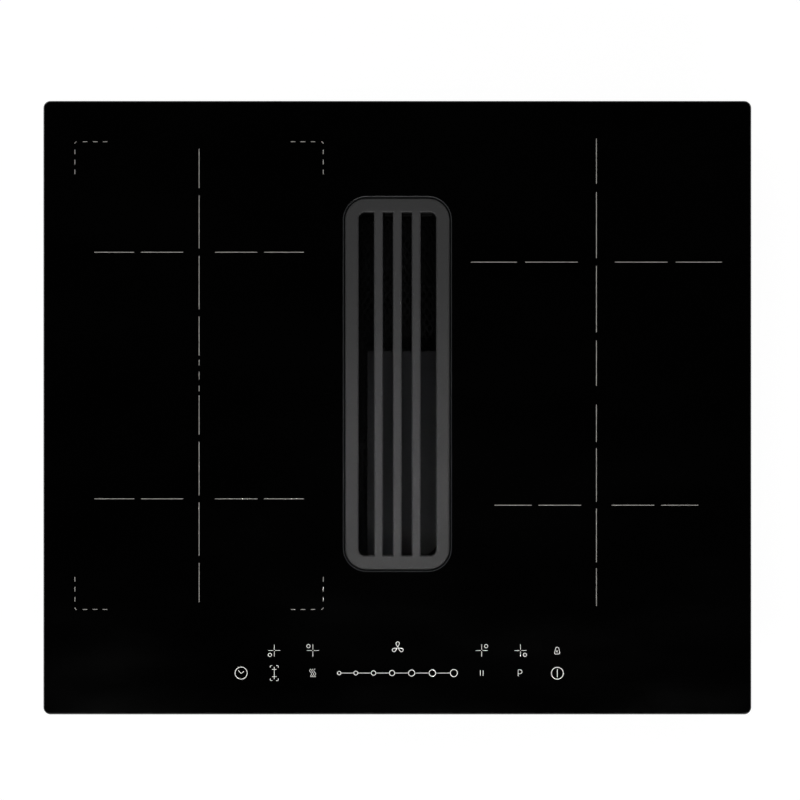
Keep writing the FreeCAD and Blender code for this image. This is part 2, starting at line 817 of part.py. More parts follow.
def ferrite_bars():
    bars = []
    for x, y in COILS.values():
        for i in range(SIZES["ferrite_count"]):
            bar = doc.addObject("Part::Box", "bar")
            bind(bar, Length="ferrite_length", Width="ferrite_width", Height="ferrite_thick")
            angle = 360 * i / SIZES["ferrite_count"]
            bar.Placement = Placement(Vector(), Rotation(Vector(0, 0, 1), angle))
            cos, sin = (f"{f(math.radians(angle)):.9f}" for f in (math.cos, math.sin))
            place(
                bar,
                f"({x}) + {cos} * coil_eye + {sin} * ferrite_width / 2",
                f"({y}) + {sin} * coil_eye - {cos} * ferrite_width / 2",
                DECK_TOP,
            )
            bars.append(bar)
    return group("ferrite_bars", bars)


def mica_sheets():
    """Heat insulation over each deck's coils."""
    sheets = [
        block(f"{sign} * deck_x", "deck_y", WINDING_TOP, "deck_width", "deck_depth", "mica_thick")
        for sign in SIDES.values()
    ]
    return group("mica_sheets", sheets)


def temperature_sensors():
    """Sensor in the eye of each coil, held up against the insulation."""
    height = f"{WINDING_TOP} - {DECK_TOP}"
    sensors = [prism(x, y, DECK_TOP, "sensor_radius", height) for x, y in COILS.values()]
    return group("temperature_sensors", sensors)


def coil_deck(side, sign):
    body = new_body(f"coil_deck_{side}")
    plan = Drawing(body, at=DECK_BOTTOM)
    plan.rectangle(f"{sign} * deck_x", "deck_y", "deck_width", "deck_depth")
    for name, (x, y) in COILS.items():
        if name.endswith(side):
            plan.rectangle(x, f"{y} + coil_eye", "2 * sensor_radius", "sensor_radius")
    pad(body, plan, "deck_sheet")
    return body


def deck_posts():
    """Pillars from the tray's floor that press the decks up."""
    height = f"{DECK_BOTTOM} - {FLOOR_TOP}"
    posts = []
    for sign in SIDES.values():
        half_x, half_y = "deck_width / 2 - deck_inset", "deck_depth / 2 - deck_inset"
        for x, y in corners(f"{sign} * deck_x", "deck_y", half_x, half_y):
            posts.append(prism(x, y, FLOOR_TOP, "post_radius", height))
    return group("deck_posts", posts)


# Power electronics: one generator board a side, with its heat sink, capacitors and chokes


def power_board(side, sign):
    board = block(f"{sign} * zone_x", "board_y", BOARD_BOTTOM, "board_width", "board_depth", "board_thick")
    return labelled(f"power_board_{side}", board)


def board_spacers():
    places = []
    for sign in SIDES.values():
        half_x, half_y = "board_width / 2 - spacer_inset", "board_depth / 2 - spacer_inset"
        places += corners(f"{sign} * zone_x", "board_y", half_x, half_y)
    pillars = [prism(x, y, FLOOR_TOP, "spacer_radius", "spacer_height") for x, y in places]
    return group("board_spacers", pillars)


def heatsink(side, sign):
    """Extruded aluminium: a base plate with a row of upright fins."""
    body = new_body(f"heatsink_{side}")
    plate = Drawing(body, at=BOARD_TOP)
    plate.rectangle(f"{sign} * zone_x", "board_y", "sink_width", "sink_length")
    pad(body, plate, "sink_base")
    fin = Drawing(body, at=f"{BOARD_TOP} + sink_base")
    fin.rectangle(
        f"{sign} * zone_x - (sink_width - sink_fin) / 2", "board_y", "sink_fin", "sink_length"
    )
    pitch = "(sink_width - sink_fin) / (sink_fin_count - 1)"
    repeat(body, pad(body, fin, "sink_height - sink_base"), "X", pitch, "sink_fin_count")
    return body


def power_capacitors():
    boxes = []
    for sign in SIDES.values():
        for step in (-1, 0, 1):
            x = f"{sign} * zone_x + sink_width / 2 + 1.2 * capacitor_width"
            y = f"board_y + {step} * capacitor_length * 1.25"
            boxes.append(block(x, y, BOARD_TOP, "capacitor_width", "capacitor_length", "capacitor_height"))
    return group("power_capacitors", boxes)


def line_chokes():
    rings = []
    for sign in SIDES.values():
        for step in (-1, 1):
            x = f"{sign} * zone_x - sink_width / 2 - 1.5 * choke_radius"
            y = f"board_y + {step} * choke_radius * 1.5"
            rings.append(sleeve(x, y, BOARD_TOP, "choke_radius", "choke_bore", "choke_height", 12))
    return group("line_chokes", rings)


# Cooling fans: square frame with a strutted floor, and a bladed rotor on its stub shaft


def fan_frame(side, sign):
    body = new_body(f"fan_frame_{side}")
    case = Drawing(body)
    case.rectangle("0", "0", "fan_side", "fan_side")
    case.regular("0", "0", "fan_bore", COIL_SIDES)
    pad(body, case, "fan_thick")
    floor = Drawing(body).regular("0", "0", "fan_hub", 16)
    pad(body, floor, "fan_floor")
    strut = Drawing(body)
    strut.rectangle("fan_bore / 2", "0", "fan_bore + fan_floor", "fan_strut")
    repeat_round(body, pad(body, strut, "fan_floor"), "4")
    stub = Drawing(body, at="fan_floor").circle("0", "0", "fan_shaft")
    pad(body, stub, "fan_thick / 2")
    return place(body, f"{sign} * zone_x", "fan_y", FLOOR_TOP)


def fan_rotor(side, sign):
    body = new_body(f"fan_rotor_{side}")
    hub = Drawing(body, at="fan_floor + fan_blade_clear")
    hub.regular("0", "0", "fan_hub", 2 * SIZES["fan_blade_count"])
    pad(body, hub, "fan_thick - fan_floor - 2 * fan_blade_clear")
    tip = "fan_bore - fan_blade_clear"
    blade = Drawing(body, "YZ", at="fan_hub / 2")
    low, high = "fan_floor + fan_blade_clear", "fan_thick - fan_blade_clear"
    blade.polygon(
        [
            ("-fan_blade_width / 2", low),
            ("-fan_blade_width / 2 + fan_blade_thick", low),
            ("fan_blade_width / 2", high),
            ("fan_blade_width / 2 - fan_blade_thick", high),
        ]
    )
    sweep = pad(body, blade, f"sqrt(({tip})^2 - (fan_blade_width / 2)^2) - fan_hub / 2")
    repeat_round(body, sweep, "fan_blade_count")
    socket = Drawing(body, at="fan_floor + fan_blade_clear").circle("0", "0", "fan_shaft + run_clear")
    cut(body, socket, "fan_thick / 2", up=True)
    return place(body, f"{sign} * zone_x", "fan_y", FLOOR_TOP)


# Touch control: a moulded carrier bonded under the glass, with its board, touch springs and displays

TOUCH_BOARD_TOP = "(seal_thick - touch_board_drop)"


def control_carrier():
    body = new_body("control_carrier")
    shell = Drawing(body, at="seal_thick")
    shell.rectangle("0", "control_y", "control_width", "control_depth")
    pad(body, shell, "control_height", down=True)
    hollow = Drawing(body, at="seal_thick")
    hollow.rectangle(
        "0", "control_y", "control_width - 2 * control_wall", "control_depth - 2 * control_wall"
    )
    cut(body, hollow, "touch_board_drop + touch_board_thick")
    well = Drawing(body, at="seal_thick")
    well.rectangle(
        "0", "control_y", "control_width - 6 * control_wall", "control_depth - 6 * control_wall"
    )
    cut(body, well, "control_height - control_wall")
    return body


def control_board():
    return labelled(
        "control_board",
        block(
            "0",
            "control_y",
            f"{TOUCH_BOARD_TOP} - touch_board_thick",
            "control_width - 3 * control_wall",
            "control_depth - 3 * control_wall",
            "touch_board_thick",
        ),
    )


def labelled(label, piece):
    piece.Label = label
    return piece


def touch_springs():
    """Sprung contacts that carry each key's touch down from the glass."""
    springs = []
    for i in range(SIZES["touch_count"]):
        x = f"touch_pitch * ({i} - (touch_count - 1) / 2)"
        y = "control_y - control_depth / 5"
        springs.append(prism(x, y, TOUCH_BOARD_TOP, "touch_radius", "touch_board_drop - mica_gap"))
    return group("touch_springs", springs)


def display_modules():
    boxes = []
    for i in range(SIZES["display_count"]):
        x = f"display_pitch * ({i} - (display_count - 1) / 2)"
        y = "control_y + control_depth / 5"
        boxes.append(
            block(x, y, TOUCH_BOARD_TOP, "display_width", "display_depth", "touch_board_drop - mica_gap")
        )
    return group("display_modules", boxes)


# Mains inlet: terminal block inside the tray, and a gland through its back wall


def terminal_block():
    body = new_body("terminal_block")
    base = Drawing(body, at=FLOOR_TOP)
    base.rectangle("terminal_x", "terminal_y", "terminal_width", "terminal_depth")
    pad(body, base, "terminal_height")
    well = Drawing(body, at=f"{FLOOR_TOP} + terminal_height")
    first = "terminal_x - terminal_width * 2 / 5"
    well.rectangle(first, "terminal_y", "screw_head * 2", "terminal_depth / 2")
    repeat(body, cut(body, well, "terminal_height / 2"), "X", "terminal_width / 5", "5")
    return body


def cable_gland():
    """Sleeve with a hexagonal nut each side of the wall, and a clear bore for the mains lead."""
    body = new_body("cable_gland")
    wall = "(tray_depth / 2)"
    level = f"{FLOOR} + gland_rise"
    nut = Drawing(body, "XZ", at=wall).regular("terminal_x", level, "gland_radius", 6)
    pad(body, nut, "gland_nut")
    tip = Drawing(body, "XZ", at=f"{wall} + gland_nut")
    tip.regular("terminal_x", level, "gland_radius - gland_nut / 2", COIL_SIDES)
    pad(body, tip, "gland_reach - gland_nut")
    neck = Drawing(body, "XZ", at=wall)
    neck.regular("terminal_x", level, "gland_radius - gland_nut / 2 - run_clear", COIL_SIDES)
    pad(body, neck, "tray_sheet", down=True)
    back_nut = Drawing(body, "XZ", at=f"{wall} - tray_sheet")
    back_nut.regular("terminal_x", level, "gland_radius", 6)
    pad(body, back_nut, "gland_nut", down=True)
    bore = Drawing(body, "XZ", at=f"{wall} + gland_reach").circle("terminal_x", level, "gland_bore")
    cut(body, bore, "gland_reach + tray_sheet + 2 * gland_nut")
    return body


# Suction box: the chamber below the opening, screwed under the tray, with a window to the blower


def box_screw_places():
    half_x, half_y = "(box_width + box_flange) / 2", "(box_length / 2 - box_corner)"
    middle = [(f"-{half_x}", "inlet_y + box_length / 12")]
    return corners("0", "inlet_y", half_x, half_y) + middle


def suction_box():
    body = new_body("suction_box")
    shell = Drawing(body, at=FLOOR)
    shell.rounded("0", "inlet_y", "box_width", "box_length", "box_corner")
    pad(body, shell, "box_height", down=True)
    flange = Drawing(body, at=FLOOR)
    flange.faceted(
        "0",
        "inlet_y",
        "box_width + 2 * box_flange",
        "box_length + 2 * box_flange",
        "box_corner + box_flange",
        CORNER_CHORDS,
    )
    pad(body, flange, "box_wall", down=True)
    rib = Drawing(body, at=FLOOR)
    rib.rectangle(
        "-(box_width + box_flange - box_rib) / 2",
        "inlet_y - box_length / 3",
        "box_flange - box_rib",
        "box_rib",
    )
    gusset = pad(body, rib, "box_height / 3", down=True)
    repeat(body, gusset, "Y", "box_length / 6", "5")
    hollow = Drawing(body, at=FLOOR)
    hollow.faceted(
        "0",
        "inlet_y",
        "box_width - 2 * box_wall",
        "box_length - 2 * box_wall",
        "box_corner - box_wall",
        CORNER_CHORDS,
    )
    cut(body, hollow, "box_height - box_wall")
    window = Drawing(body, "YZ", at="box_width / 2 + box_flange")
    window.rectangle(
        "blower_y",
        f"{FLOOR} - plenum_height / 2",
        "2 * plenum_half - 2 * scroll_wall",
        "plenum_height - 2 * scroll_wall",
    )
    cut(body, window, "box_flange + box_wall")
    return body


# Blower: spiral housing on four centres, a plenum over its eye, and a wheel of forward-curved blades

SCROLL_HALF = "(scroll_growth / 2)"
FIRST_CENTRE = (f"-{SCROLL_HALF}", f"-{SCROLL_HALF}")
SECOND_CENTRE = (SCROLL_HALF, f"-{SCROLL_HALF}")
THIRD_CENTRE = (SCROLL_HALF, SCROLL_HALF)


def scroll_outline(drawing, grow):
    """Closed spiral: three quarter arcs of growing radius, each on the next corner of a small square,
    then a straight exit to the back. Grow moves it outwards all round."""
    first = f"(scroll_start + {grow})"
    second = f"(scroll_start + scroll_growth + {grow})"
    third = f"(scroll_start + 2 * scroll_growth + {grow})"
    right = f"({SCROLL_HALF} + {third})"
    tongue_x = f"({SCROLL_RIGHT} - exit_width - {grow})"
    tongue_y = f"(sqrt({first}^2 - ({tongue_x} + {SCROLL_HALF})^2) - {SCROLL_HALF})"
    tongue = math.degrees(
        math.atan2(size(f"{tongue_y} + {SCROLL_HALF}"), size(f"{tongue_x} + {SCROLL_HALF}"))
    )
    drawing.arc(FIRST_CENTRE, first, tongue, 180, ("DistanceX", tongue_x), ("DistanceY", f"-{SCROLL_HALF}"))
    drawing.arc(
        SECOND_CENTRE, second, 180, 270, ("DistanceY", f"-{SCROLL_HALF}"), ("DistanceX", SCROLL_HALF)
    )
    drawing.arc(THIRD_CENTRE, third, 270, 360, ("DistanceX", SCROLL_HALF), ("DistanceY", SCROLL_HALF))
    drawing.line((right, SCROLL_HALF), (right, "exit_reach"))
    drawing.line((right, "exit_reach"), (tongue_x, "exit_reach"))
    drawing.line((tongue_x, "exit_reach"), (tongue_x, tongue_y))
    return drawing


def exit_flange(drawing, grow):
    """Rectangle round the exit of the spiral, in its end plane."""
    return drawing.rectangle(
        f"{SCROLL_RIGHT} - exit_width / 2",
        f"-{SCROLL_ROOM} / 2",
        f"exit_width + 2 * ({grow})",
        f"{SCROLL_ROOM} + 2 * ({grow})",
    )


def motor_screw_places():
    radius = "(motor_radius + motor_flange) / 2"
    return [(radius, "0"), (f"-{radius}", "0"), ("0", radius), ("0", f"-{radius}")]


def blower_housing():
    """Floor and spiral wall in one moulding, with a flange round its exit."""
    body = new_body("blower_housing")
    depth = f"{SCROLL_ROOM} + scroll_wall"
    pad(body, scroll_outline(Drawing(body), "scroll_wall"), depth, down=True)
    flange = Drawing(body, "XZ", at="exit_reach")
    exit_flange(flange, "0").polygon(exit_ring())
    pad(body, flange, "scroll_wall", down=True)
    cut(body, scroll_outline(Drawing(body), "0"), SCROLL_ROOM)
    mouth = exit_flange(Drawing(body, "XZ", at="exit_reach + scroll_wall"), "0")
    cut(body, mouth, "2 * scroll_wall")
    hole = Drawing(body, at=f"-{SCROLL_ROOM}").regular("0", "0", "shaft_radius * 2", 16)
    cut(body, hole, "scroll_wall")
    return place(body, "blower_x", "blower_y", SCROLL_INSIDE_TOP)


def exit_ring():
    x = f"({SCROLL_RIGHT} - exit_width / 2)"
    half_x, grow = "(exit_width / 2 + scroll_wall + exit_flange)", "(scroll_wall + exit_flange)"
    low, high = f"-{SCROLL_ROOM} - {grow}", "0"
    left, right = f"{x} - {half_x}", f"{x} + {half_x}"
    return [(left, low), (right, low), (right, high), (left, high)]


def blower_cover():
    """Lid of the spiral, with a lipped eye that the wheel breathes through."""
    body = new_body("blower_cover")
    lid = scroll_outline(Drawing(body), "scroll_wall").regular("0", "0", "eye_radius", COIL_SIDES)
    pad(body, lid, "scroll_wall")
    lip = Drawing(body, at="scroll_wall").regular("0", "0", "eye_radius + scroll_wall", COIL_SIDES)
    lip.regular("0", "0", "eye_radius", COIL_SIDES)
    pad(body, lip, "eye_lip")
    return place(body, "blower_x", "blower_y", SCROLL_INSIDE_TOP)


def plenum_walls(drawing, inset):
    """U-shaped outline from the suction box's wall round the eye."""
    start = "box_width / 2 - blower_x"
    radius = f"(plenum_half - {inset})"
    drawing.line((start, f"-{radius}"), ("0", f"-{radius}"))
    drawing.arc(("0", "0"), radius, -90, 90, ("DistanceX", "0"), ("DistanceX", "0"))
    drawing.line(("0", radius), (start, radius))
    drawing.line((start, radius), (start, f"-{radius}"))
    return drawing


def plenum():
    """Cap between the spiral and the tray that leads the air from the suction box to the eye."""
    body = new_body("plenum")
    pad(body, plenum_walls(Drawing(body), "0"), "plenum_height")
    hollow = plenum_walls(Drawing(body), "scroll_wall")
    cut(body, hollow, "plenum_height - scroll_wall", up=True)
    flange_room = Drawing(body, "XZ", at="plenum_half")
    flange_room.rectangle(
        "box_width / 2 - blower_x + box_flange / 2",
        "plenum_height - box_wall / 2",
        "box_flange + 2 * screw_clear",
        "box_wall + 2 * screw_clear",
    )
    cut(body, flange_room, "2 * plenum_half")
    return place(body, "blower_x", "blower_y", SCROLL_TOP)


def impeller():
    """Back plate and hub, a ring of curved blades, and a front ring that ties their tips."""
    body = new_body("impeller")
    blades = SIZES["wheel_blade_count"]
    plate = Drawing(body).regular("0", "0", "wheel_radius", blades)
    pad(body, plate, "wheel_plate")
    hub = Drawing(body, at="wheel_plate").regular("0", "0", "wheel_hub", 12)
    pad(body, hub, "wheel_hub_height")
    blade = Drawing(body, at="wheel_plate")
    root, tip = "(wheel_radius - wheel_blade_depth)", "(wheel_radius - wheel_blade)"
    middle = f"{root} + wheel_blade_depth / 2"
    lean = "(wheel_blade_depth / 2)"
    blade.polygon(
        [
            (root, "0"),
            (middle, f"{lean} / 3"),
            (tip, lean),
            (tip, f"{lean} + wheel_blade * 1.5"),
            (middle, f"{lean} / 3 + wheel_blade"),
            (root, "wheel_blade"),
        ]
    )
    repeat_round(body, pad(body, blade, "wheel_height - 2 * wheel_plate"), "wheel_blade_count")
    rim = Drawing(body, at="wheel_height - wheel_plate").regular("0", "0", "wheel_radius", blades)
    rim.regular("0", "0", "wheel_radius - wheel_blade_depth - 2 * wheel_blade", blades)
    pad(body, rim, "wheel_plate")
    return place(body, "blower_x", "blower_y", WHEEL_BOTTOM)


def motor_shaft():
    return labelled(
        "motor_shaft",
        prism(
            "blower_x",
            "blower_y",
            f"{SCROLL_BOTTOM} - shaft_seat",
            "shaft_radius",
            f"{WHEEL_BOTTOM} - {SCROLL_BOTTOM} + shaft_seat",
            COIL_SIDES,
        ),
    )


def blower_motor():
    """Motor can under the spiral, on a screwed flange; its foot is level with the suction box's."""
    body = new_body("blower_motor")
    flange = Drawing(body, at=SCROLL_BOTTOM).regular("0", "0", "motor_flange", MOTOR_SIDES)
    pad(body, flange, "scroll_wall", down=True)
    can = Drawing(body, at=SCROLL_BOTTOM).regular("0", "0", "motor_radius", MOTOR_SIDES)
    pad(body, can, f"{SCROLL_BOTTOM} - {BOX_BOTTOM}", down=True)
    chamfer(body, edges_at(body, BOX_BOTTOM), "scroll_wall")
    bearing = Drawing(body, at=SCROLL_BOTTOM).circle("0", "0", "shaft_radius + run_clear")
    cut(body, bearing, "shaft_seat + run_clear")
    return place(body, "blower_x", "blower_y")


def duct_outlet():
    """Diffuser from the spiral's exit to a collar for flat ducting."""
    start = f"({SCROLL_RIGHT} - exit_width / 2 + blower_x)"

    def passage(grow):
        """The widening passage and the straight collar after it, grown by a wall all round."""
        spread = doc.addObject("Part::Wedge", "spread")
        exit_half, room_half = f"(exit_width / 2 + {grow})", f"({SCROLL_ROOM} / 2 + {grow})"
        duct_half = f"(duct_width / 2 - duct_wall + {grow})"
        rise_half = f"(duct_height / 2 - duct_wall + {grow})"
        bind(spread, Ymin="0", Ymax="diffuser_length")
        bind(spread, Xmin=f"{start} - {exit_half}", Xmax=f"{start} + {exit_half}")
        bind(spread, Zmin=f"-{room_half}", Zmax=room_half)
        bind(spread, X2min=f"{DUCT_X} - {duct_half}", X2max=f"{DUCT_X} + {duct_half}")
        bind(spread, Z2min=f"-{rise_half}", Z2max=rise_half)
        place(spread, "0", EXIT_Y, SCROLL_MIDDLE)
        collar = block(
            DUCT_X,
            f"{EXIT_Y} + diffuser_length + duct_collar / 2",
            f"{SCROLL_MIDDLE} - {rise_half}",
            f"2 * {duct_half}",
            "duct_collar",
            f"2 * {rise_half}",
        )
        return [spread, collar]

    flange = block(
        start,
        f"{EXIT_Y} + duct_wall / 2",
        f"{SCROLL_MIDDLE} - {SCROLL_ROOM} / 2 - duct_wall - exit_flange",
        "exit_width + 2 * duct_wall + 2 * exit_flange",
        "duct_wall",
        f"{SCROLL_ROOM} + 2 * duct_wall + 2 * exit_flange",
    )
    piece = less(joined(flange, *passage("duct_wall")), joined(*passage("0")))
    return labelled("duct_outlet", piece)


# Filter cassette and drip tray: moulded inserts that come up through the throat

INSERT_WIDTH = f"({THROAT_WIDTH} - 2 * insert_clear)"
INSERT_LENGTH = f"({THROAT_LENGTH} - 2 * insert_clear)"
INSERT_CORNER = f"({THROAT_CORNER} - insert_clear)"


def filter_cassette():
    """Open frame that hangs by its rim on the lower ledge, with the filter at its foot and a finger lip."""
    body = new_body("filter_cassette")
    rim = Drawing(body, at=RIM_LEDGE)
    rim.faceted(
        "0",
        "inlet_y",
        f"{RECESS_WIDTH} - 2 * insert_clear",
        f"{RECESS_LENGTH} - 2 * insert_clear",
        f"{RECESS_CORNER} - insert_clear",
        CORNER_CHORDS,
    )
    pad(body, rim, "rim_thick")
    wall = Drawing(body, at=RIM_LEDGE)
    wall.faceted("0", "inlet_y", INSERT_WIDTH, INSERT_LENGTH, INSERT_CORNER, CORNER_CHORDS)
    pad(body, wall, "cassette_depth", down=True)
    hollow = Drawing(body, at=f"{RIM_LEDGE} + rim_thick")
    hollow.faceted(
        "0",
        "inlet_y",
        f"{INSERT_WIDTH} - 2 * cassette_wall",
        f"{INSERT_LENGTH} - 2 * cassette_wall",
        f"{INSERT_CORNER} - cassette_wall",
        CORNER_CHORDS,
    )
    cut(body, hollow, "cassette_depth + rim_thick - cassette_wall")
    foot = Drawing(body, at=f"{RIM_LEDGE} - cassette_depth + cassette_wall")
    foot.faceted(
        "0",
        "inlet_y",
        f"{INSERT_WIDTH} - 2 * cassette_wall - 2 * cassette_lip",
        f"{INSERT_LENGTH} - 2 * cassette_wall - 2 * cassette_lip",
        f"{INSERT_CORNER} - cassette_wall",
        CORNER_CHORDS,
    )
    cut(body, foot, "cassette_wall")
    back = f"(inlet_y + {INSERT_LENGTH} / 2 - cassette_wall)"
    edge = f"{back} - finger_reach"
    lip = Drawing(body, "YZ", at=f"0 - finger_left * {INSERT_WIDTH}")
    lip.polygon(
        [
            (f"{back} + cassette_wall / 2", RIM_LEDGE),
            (f"{back} + cassette_wall / 2", f"{RIM_LEDGE} - finger_sheet"),
            (edge, f"{RIM_LEDGE} - finger_sheet"),
            (edge, f"{RIM_LEDGE} + finger_rise"),
            (f"{edge} + finger_sheet", f"{RIM_LEDGE} + finger_rise"),
            (f"{edge} + finger_sheet", RIM_LEDGE),
        ]
    )
    pad(body, lip, f"(finger_left + finger_right) * {INSERT_WIDTH}")
    return body


def filter_mesh():
    """Pad of expanded metal on the cassette's foot."""
    body = new_body("filter_mesh")
    plan = Drawing(body, at=f"{RIM_LEDGE} - cassette_depth + cassette_wall")
    plan.faceted(
        "0",
        "inlet_y",
        f"{INSERT_WIDTH} - 2 * cassette_wall - 2 * mica_gap",
        f"{INSERT_LENGTH} - 2 * cassette_wall - 2 * mica_gap",
        f"{INSERT_CORNER} - cassette_wall",
        CORNER_CHORDS,
    )
    pad(body, plan, "mesh_thick")
    return body


def drip_deflector():
    """Sloping plate over the front of the filter, clear of the left wall, so that spills run off its edge."""
    body = new_body("drip_deflector")
    front = f"(inlet_y - {INSERT_LENGTH} / 2 + cassette_wall)"
    right = f"({INSERT_WIDTH} / 2 - cassette_wall)"
    top = f"({RIM_LEDGE} - deflector_drop)"
    fold = f"{top} - deflector_fall"
    profile = Drawing(body, "YZ", at="deflector_left")
    profile.polygon(
        [
            (front, top),
            (front, f"{top} - deflector_sheet"),
            ("deflector_back - deflector_sheet", f"{fold} - deflector_sheet"),
            ("deflector_back - deflector_sheet", f"{fold} - deflector_lip"),
            ("deflector_back", f"{fold} - deflector_lip"),
            ("deflector_back", fold),
        ]
    )
    pad(body, profile, f"{right} - deflector_left")
    bend = f"({INSERT_CORNER} - cassette_wall)"
    corner = Drawing(body, at=RIM_LEDGE)
    corner.polygon([(right, front), (right, f"{front} + {bend}"), (f"{right} - {bend}", front)])
    cut(body, corner, "deflector_drop + deflector_fall + deflector_lip")
    return body


def drip_tray():
    """Shallow dish on the floor of the suction box, under the filter."""
    body = new_body("drip_tray")
    dish = Drawing(body, at=f"{BOX_BOTTOM} + box_wall")
    dish.faceted("0", "inlet_y", INSERT_WIDTH, INSERT_LENGTH, INSERT_CORNER, CORNER_CHORDS)
    pad(body, dish, "drip_height")
    hollow = Drawing(body, at=f"{BOX_BOTTOM} + box_wall + drip_height")
    hollow.faceted(
        "0",
        "inlet_y",
        f"{INSERT_WIDTH} - 2 * drip_wall",
        f"{INSERT_LENGTH} - 2 * drip_wall",
        f"{INSERT_CORNER} - drip_wall",
        CORNER_CHORDS,
    )
    cut(body, hollow, "drip_height - drip_wall")
    return body


# Retaining springs on the tray's sides, and screws


def retaining_spring(sign, y):
    """Bent strip: flat on the wall at its top, bowed out to grip the cut-out, and back in at its foot."""
    body = new_body("retaining_spring")
    wall = "(tray_width / 2)"
    out = f"{wall} + spring_reach"
    high, low = f"{FLOOR} + tray_height * 3 / 4", f"{FLOOR} + tray_height * 3 / 4 - spring_height"
    middle = f"{FLOOR} + tray_height * 3 / 4 - spring_height / 2"
    shoulder = f"{FLOOR} + tray_height * 3 / 4 - spring_height / 4"
    profile = Drawing(body, "XZ", at=f"{y} + spring_width / 2")
    points = [
        (wall, high),
        (wall, shoulder),
        (f"{out} - spring_sheet", middle),
        (wall, low),
        (f"{wall} + spring_sheet", low),
        (out, middle),
        (f"{wall} + spring_sheet", shoulder),
        (f"{wall} + spring_sheet", high),
    ]
    profile.polygon([(f"{sign} * ({px})", pz) for px, pz in points])
    pad(body, profile, "spring_width", down=True)
    return body


def retaining_springs():
    springs = [
        retaining_spring(sign, f"{step} * spring_y") for sign in SIDES.values() for step in (-1, 1)
    ]
    return group("retaining_springs", springs)


def spring_screws():
    """Hexagonal heads of the screws that hold the springs to the tray's walls."""
    level = f"{FLOOR} + tray_height * 3 / 4 - spring_height / 8"
    heads = []
    for sign in SIDES.values():
        for step in (-1, 1):
            head = doc.addObject("Part::Prism", "head")
            head.Polygon = 6
            bind(head, Circumradius="screw_head", Height="screw_head_height")
            head.Placement = Placement(Vector(), Rotation(Vector(0, 1, 0), 90 * sign))
            place(head, f"{sign} * (tray_width / 2 + spring_sheet)", f"{step} * spring_y", level)
            heads.append(head)
    return group("spring_screws", heads)


def hanging_screws(label, places, under):
    """Hexagonal heads of screws that are driven upwards, against an underside."""
    low = f"{under} - screw_head_height"
    heads = [prism(x, y, low, "screw_head", "screw_head_height") for x, y in places]
    return group(label, heads)


def box_screws():
    return hanging_screws("box_screws", box_screw_places(), f"{FLOOR} - box_wall")


def motor_screws():
    places = [(f"blower_x + {x}", f"blower_y + {y}") for x, y in motor_screw_places()]
    return hanging_screws("motor_screws", places, f"{SCROLL_BOTTOM} - scroll_wall")


# The assembly

PIECES = [
    glass_top(),
    worktop_seal(),
    inlet_frame(),
    air_grille(),
    grille_pads(),
    base_tray(),
    *[coil_winding(name) for name in COILS],
    *[coil_former(name) for name in COILS],
    ferrite_bars(),
    mica_sheets(),
    temperature_sensors(),
    *[coil_deck(side, sign) for side, sign in SIDES.items()],
    deck_posts(),
    *[power_board(side, sign) for side, sign in SIDES.items()],
    board_spacers(),
    *[heatsink(side, sign) for side, sign in SIDES.items()],
    power_capacitors(),
    line_chokes(),
    *[fan_frame(side, sign) for side, sign in SIDES.items()],
    *[fan_rotor(side, sign) for side, sign in SIDES.items()],
    control_carrier(),
    control_board(),
    touch_springs(),
    display_modules(),
    terminal_block(),
    cable_gland(),
    suction_box(),
    plenum(),
    blower_housing(),
    blower_cover(),
    impeller(),
    motor_shaft(),
    blower_motor(),
    duct_outlet(),
    filter_cassette(),
    filter_mesh(),
    drip_deflector(),
    drip_tray(),
    retaining_springs(),
    spring_screws(),
    box_screws(),
    motor_screws(),
]

# Checks, and one STEP file a piece


def main():
    doc.recompute()
    failed = [thing.Label for thing in doc.Objects if {"Invalid", "Error"} & set(thing.State)]
    bad = [p.Label for p in PIECES if p.Shape.isNull() or not p.Shape.isValid() or not p.Shape.Solids]
    if failed or bad:
        raise RuntimeError(f"objects that failed: {failed}; pieces with no good shape: {bad}")
    os.makedirs("parts", exist_ok=True)
    for piece in PIECES:
        piece.Shape.exportStep(os.path.join("parts", f"{piece.Label}.step"))
    print(f"{len(PIECES)} pieces, {sum(len(p.Shape.Solids) for p in PIECES)} solids")


main()
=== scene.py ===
import math

import bmesh
import bpy
from mathutils import Matrix, Vector


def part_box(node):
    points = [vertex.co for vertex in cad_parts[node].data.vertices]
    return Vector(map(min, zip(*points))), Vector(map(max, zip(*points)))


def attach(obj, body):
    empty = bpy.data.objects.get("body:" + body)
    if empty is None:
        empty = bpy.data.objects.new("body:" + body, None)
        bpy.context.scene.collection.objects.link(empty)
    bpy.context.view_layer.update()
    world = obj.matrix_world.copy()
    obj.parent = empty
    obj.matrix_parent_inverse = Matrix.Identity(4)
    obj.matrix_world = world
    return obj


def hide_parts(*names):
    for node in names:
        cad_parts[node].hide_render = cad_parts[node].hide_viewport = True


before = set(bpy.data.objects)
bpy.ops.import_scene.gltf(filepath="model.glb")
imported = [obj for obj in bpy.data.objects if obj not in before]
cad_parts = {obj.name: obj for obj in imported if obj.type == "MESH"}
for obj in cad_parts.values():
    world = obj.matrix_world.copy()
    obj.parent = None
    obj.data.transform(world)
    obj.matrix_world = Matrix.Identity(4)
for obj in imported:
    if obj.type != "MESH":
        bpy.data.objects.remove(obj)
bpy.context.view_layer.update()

# Base tray
# A pan of hot-dip galvanised sheet steel that hangs under the glass, its rim bonded to the underside.
# Beads pressed into floor and walls keep the sheet flat, and slots in both let the fans breathe.

MM = 0.001


def linear(code):
    """An sRGB hex colour as the linear values that a shader takes."""
    parts = [int(code[i : i + 2], 16) / 255 for i in (1, 3, 5)]
    return [c / 12.92 if c <= 0.04045 else ((c + 0.055) / 1.055) ** 2.4 for c in parts] + [1.0]


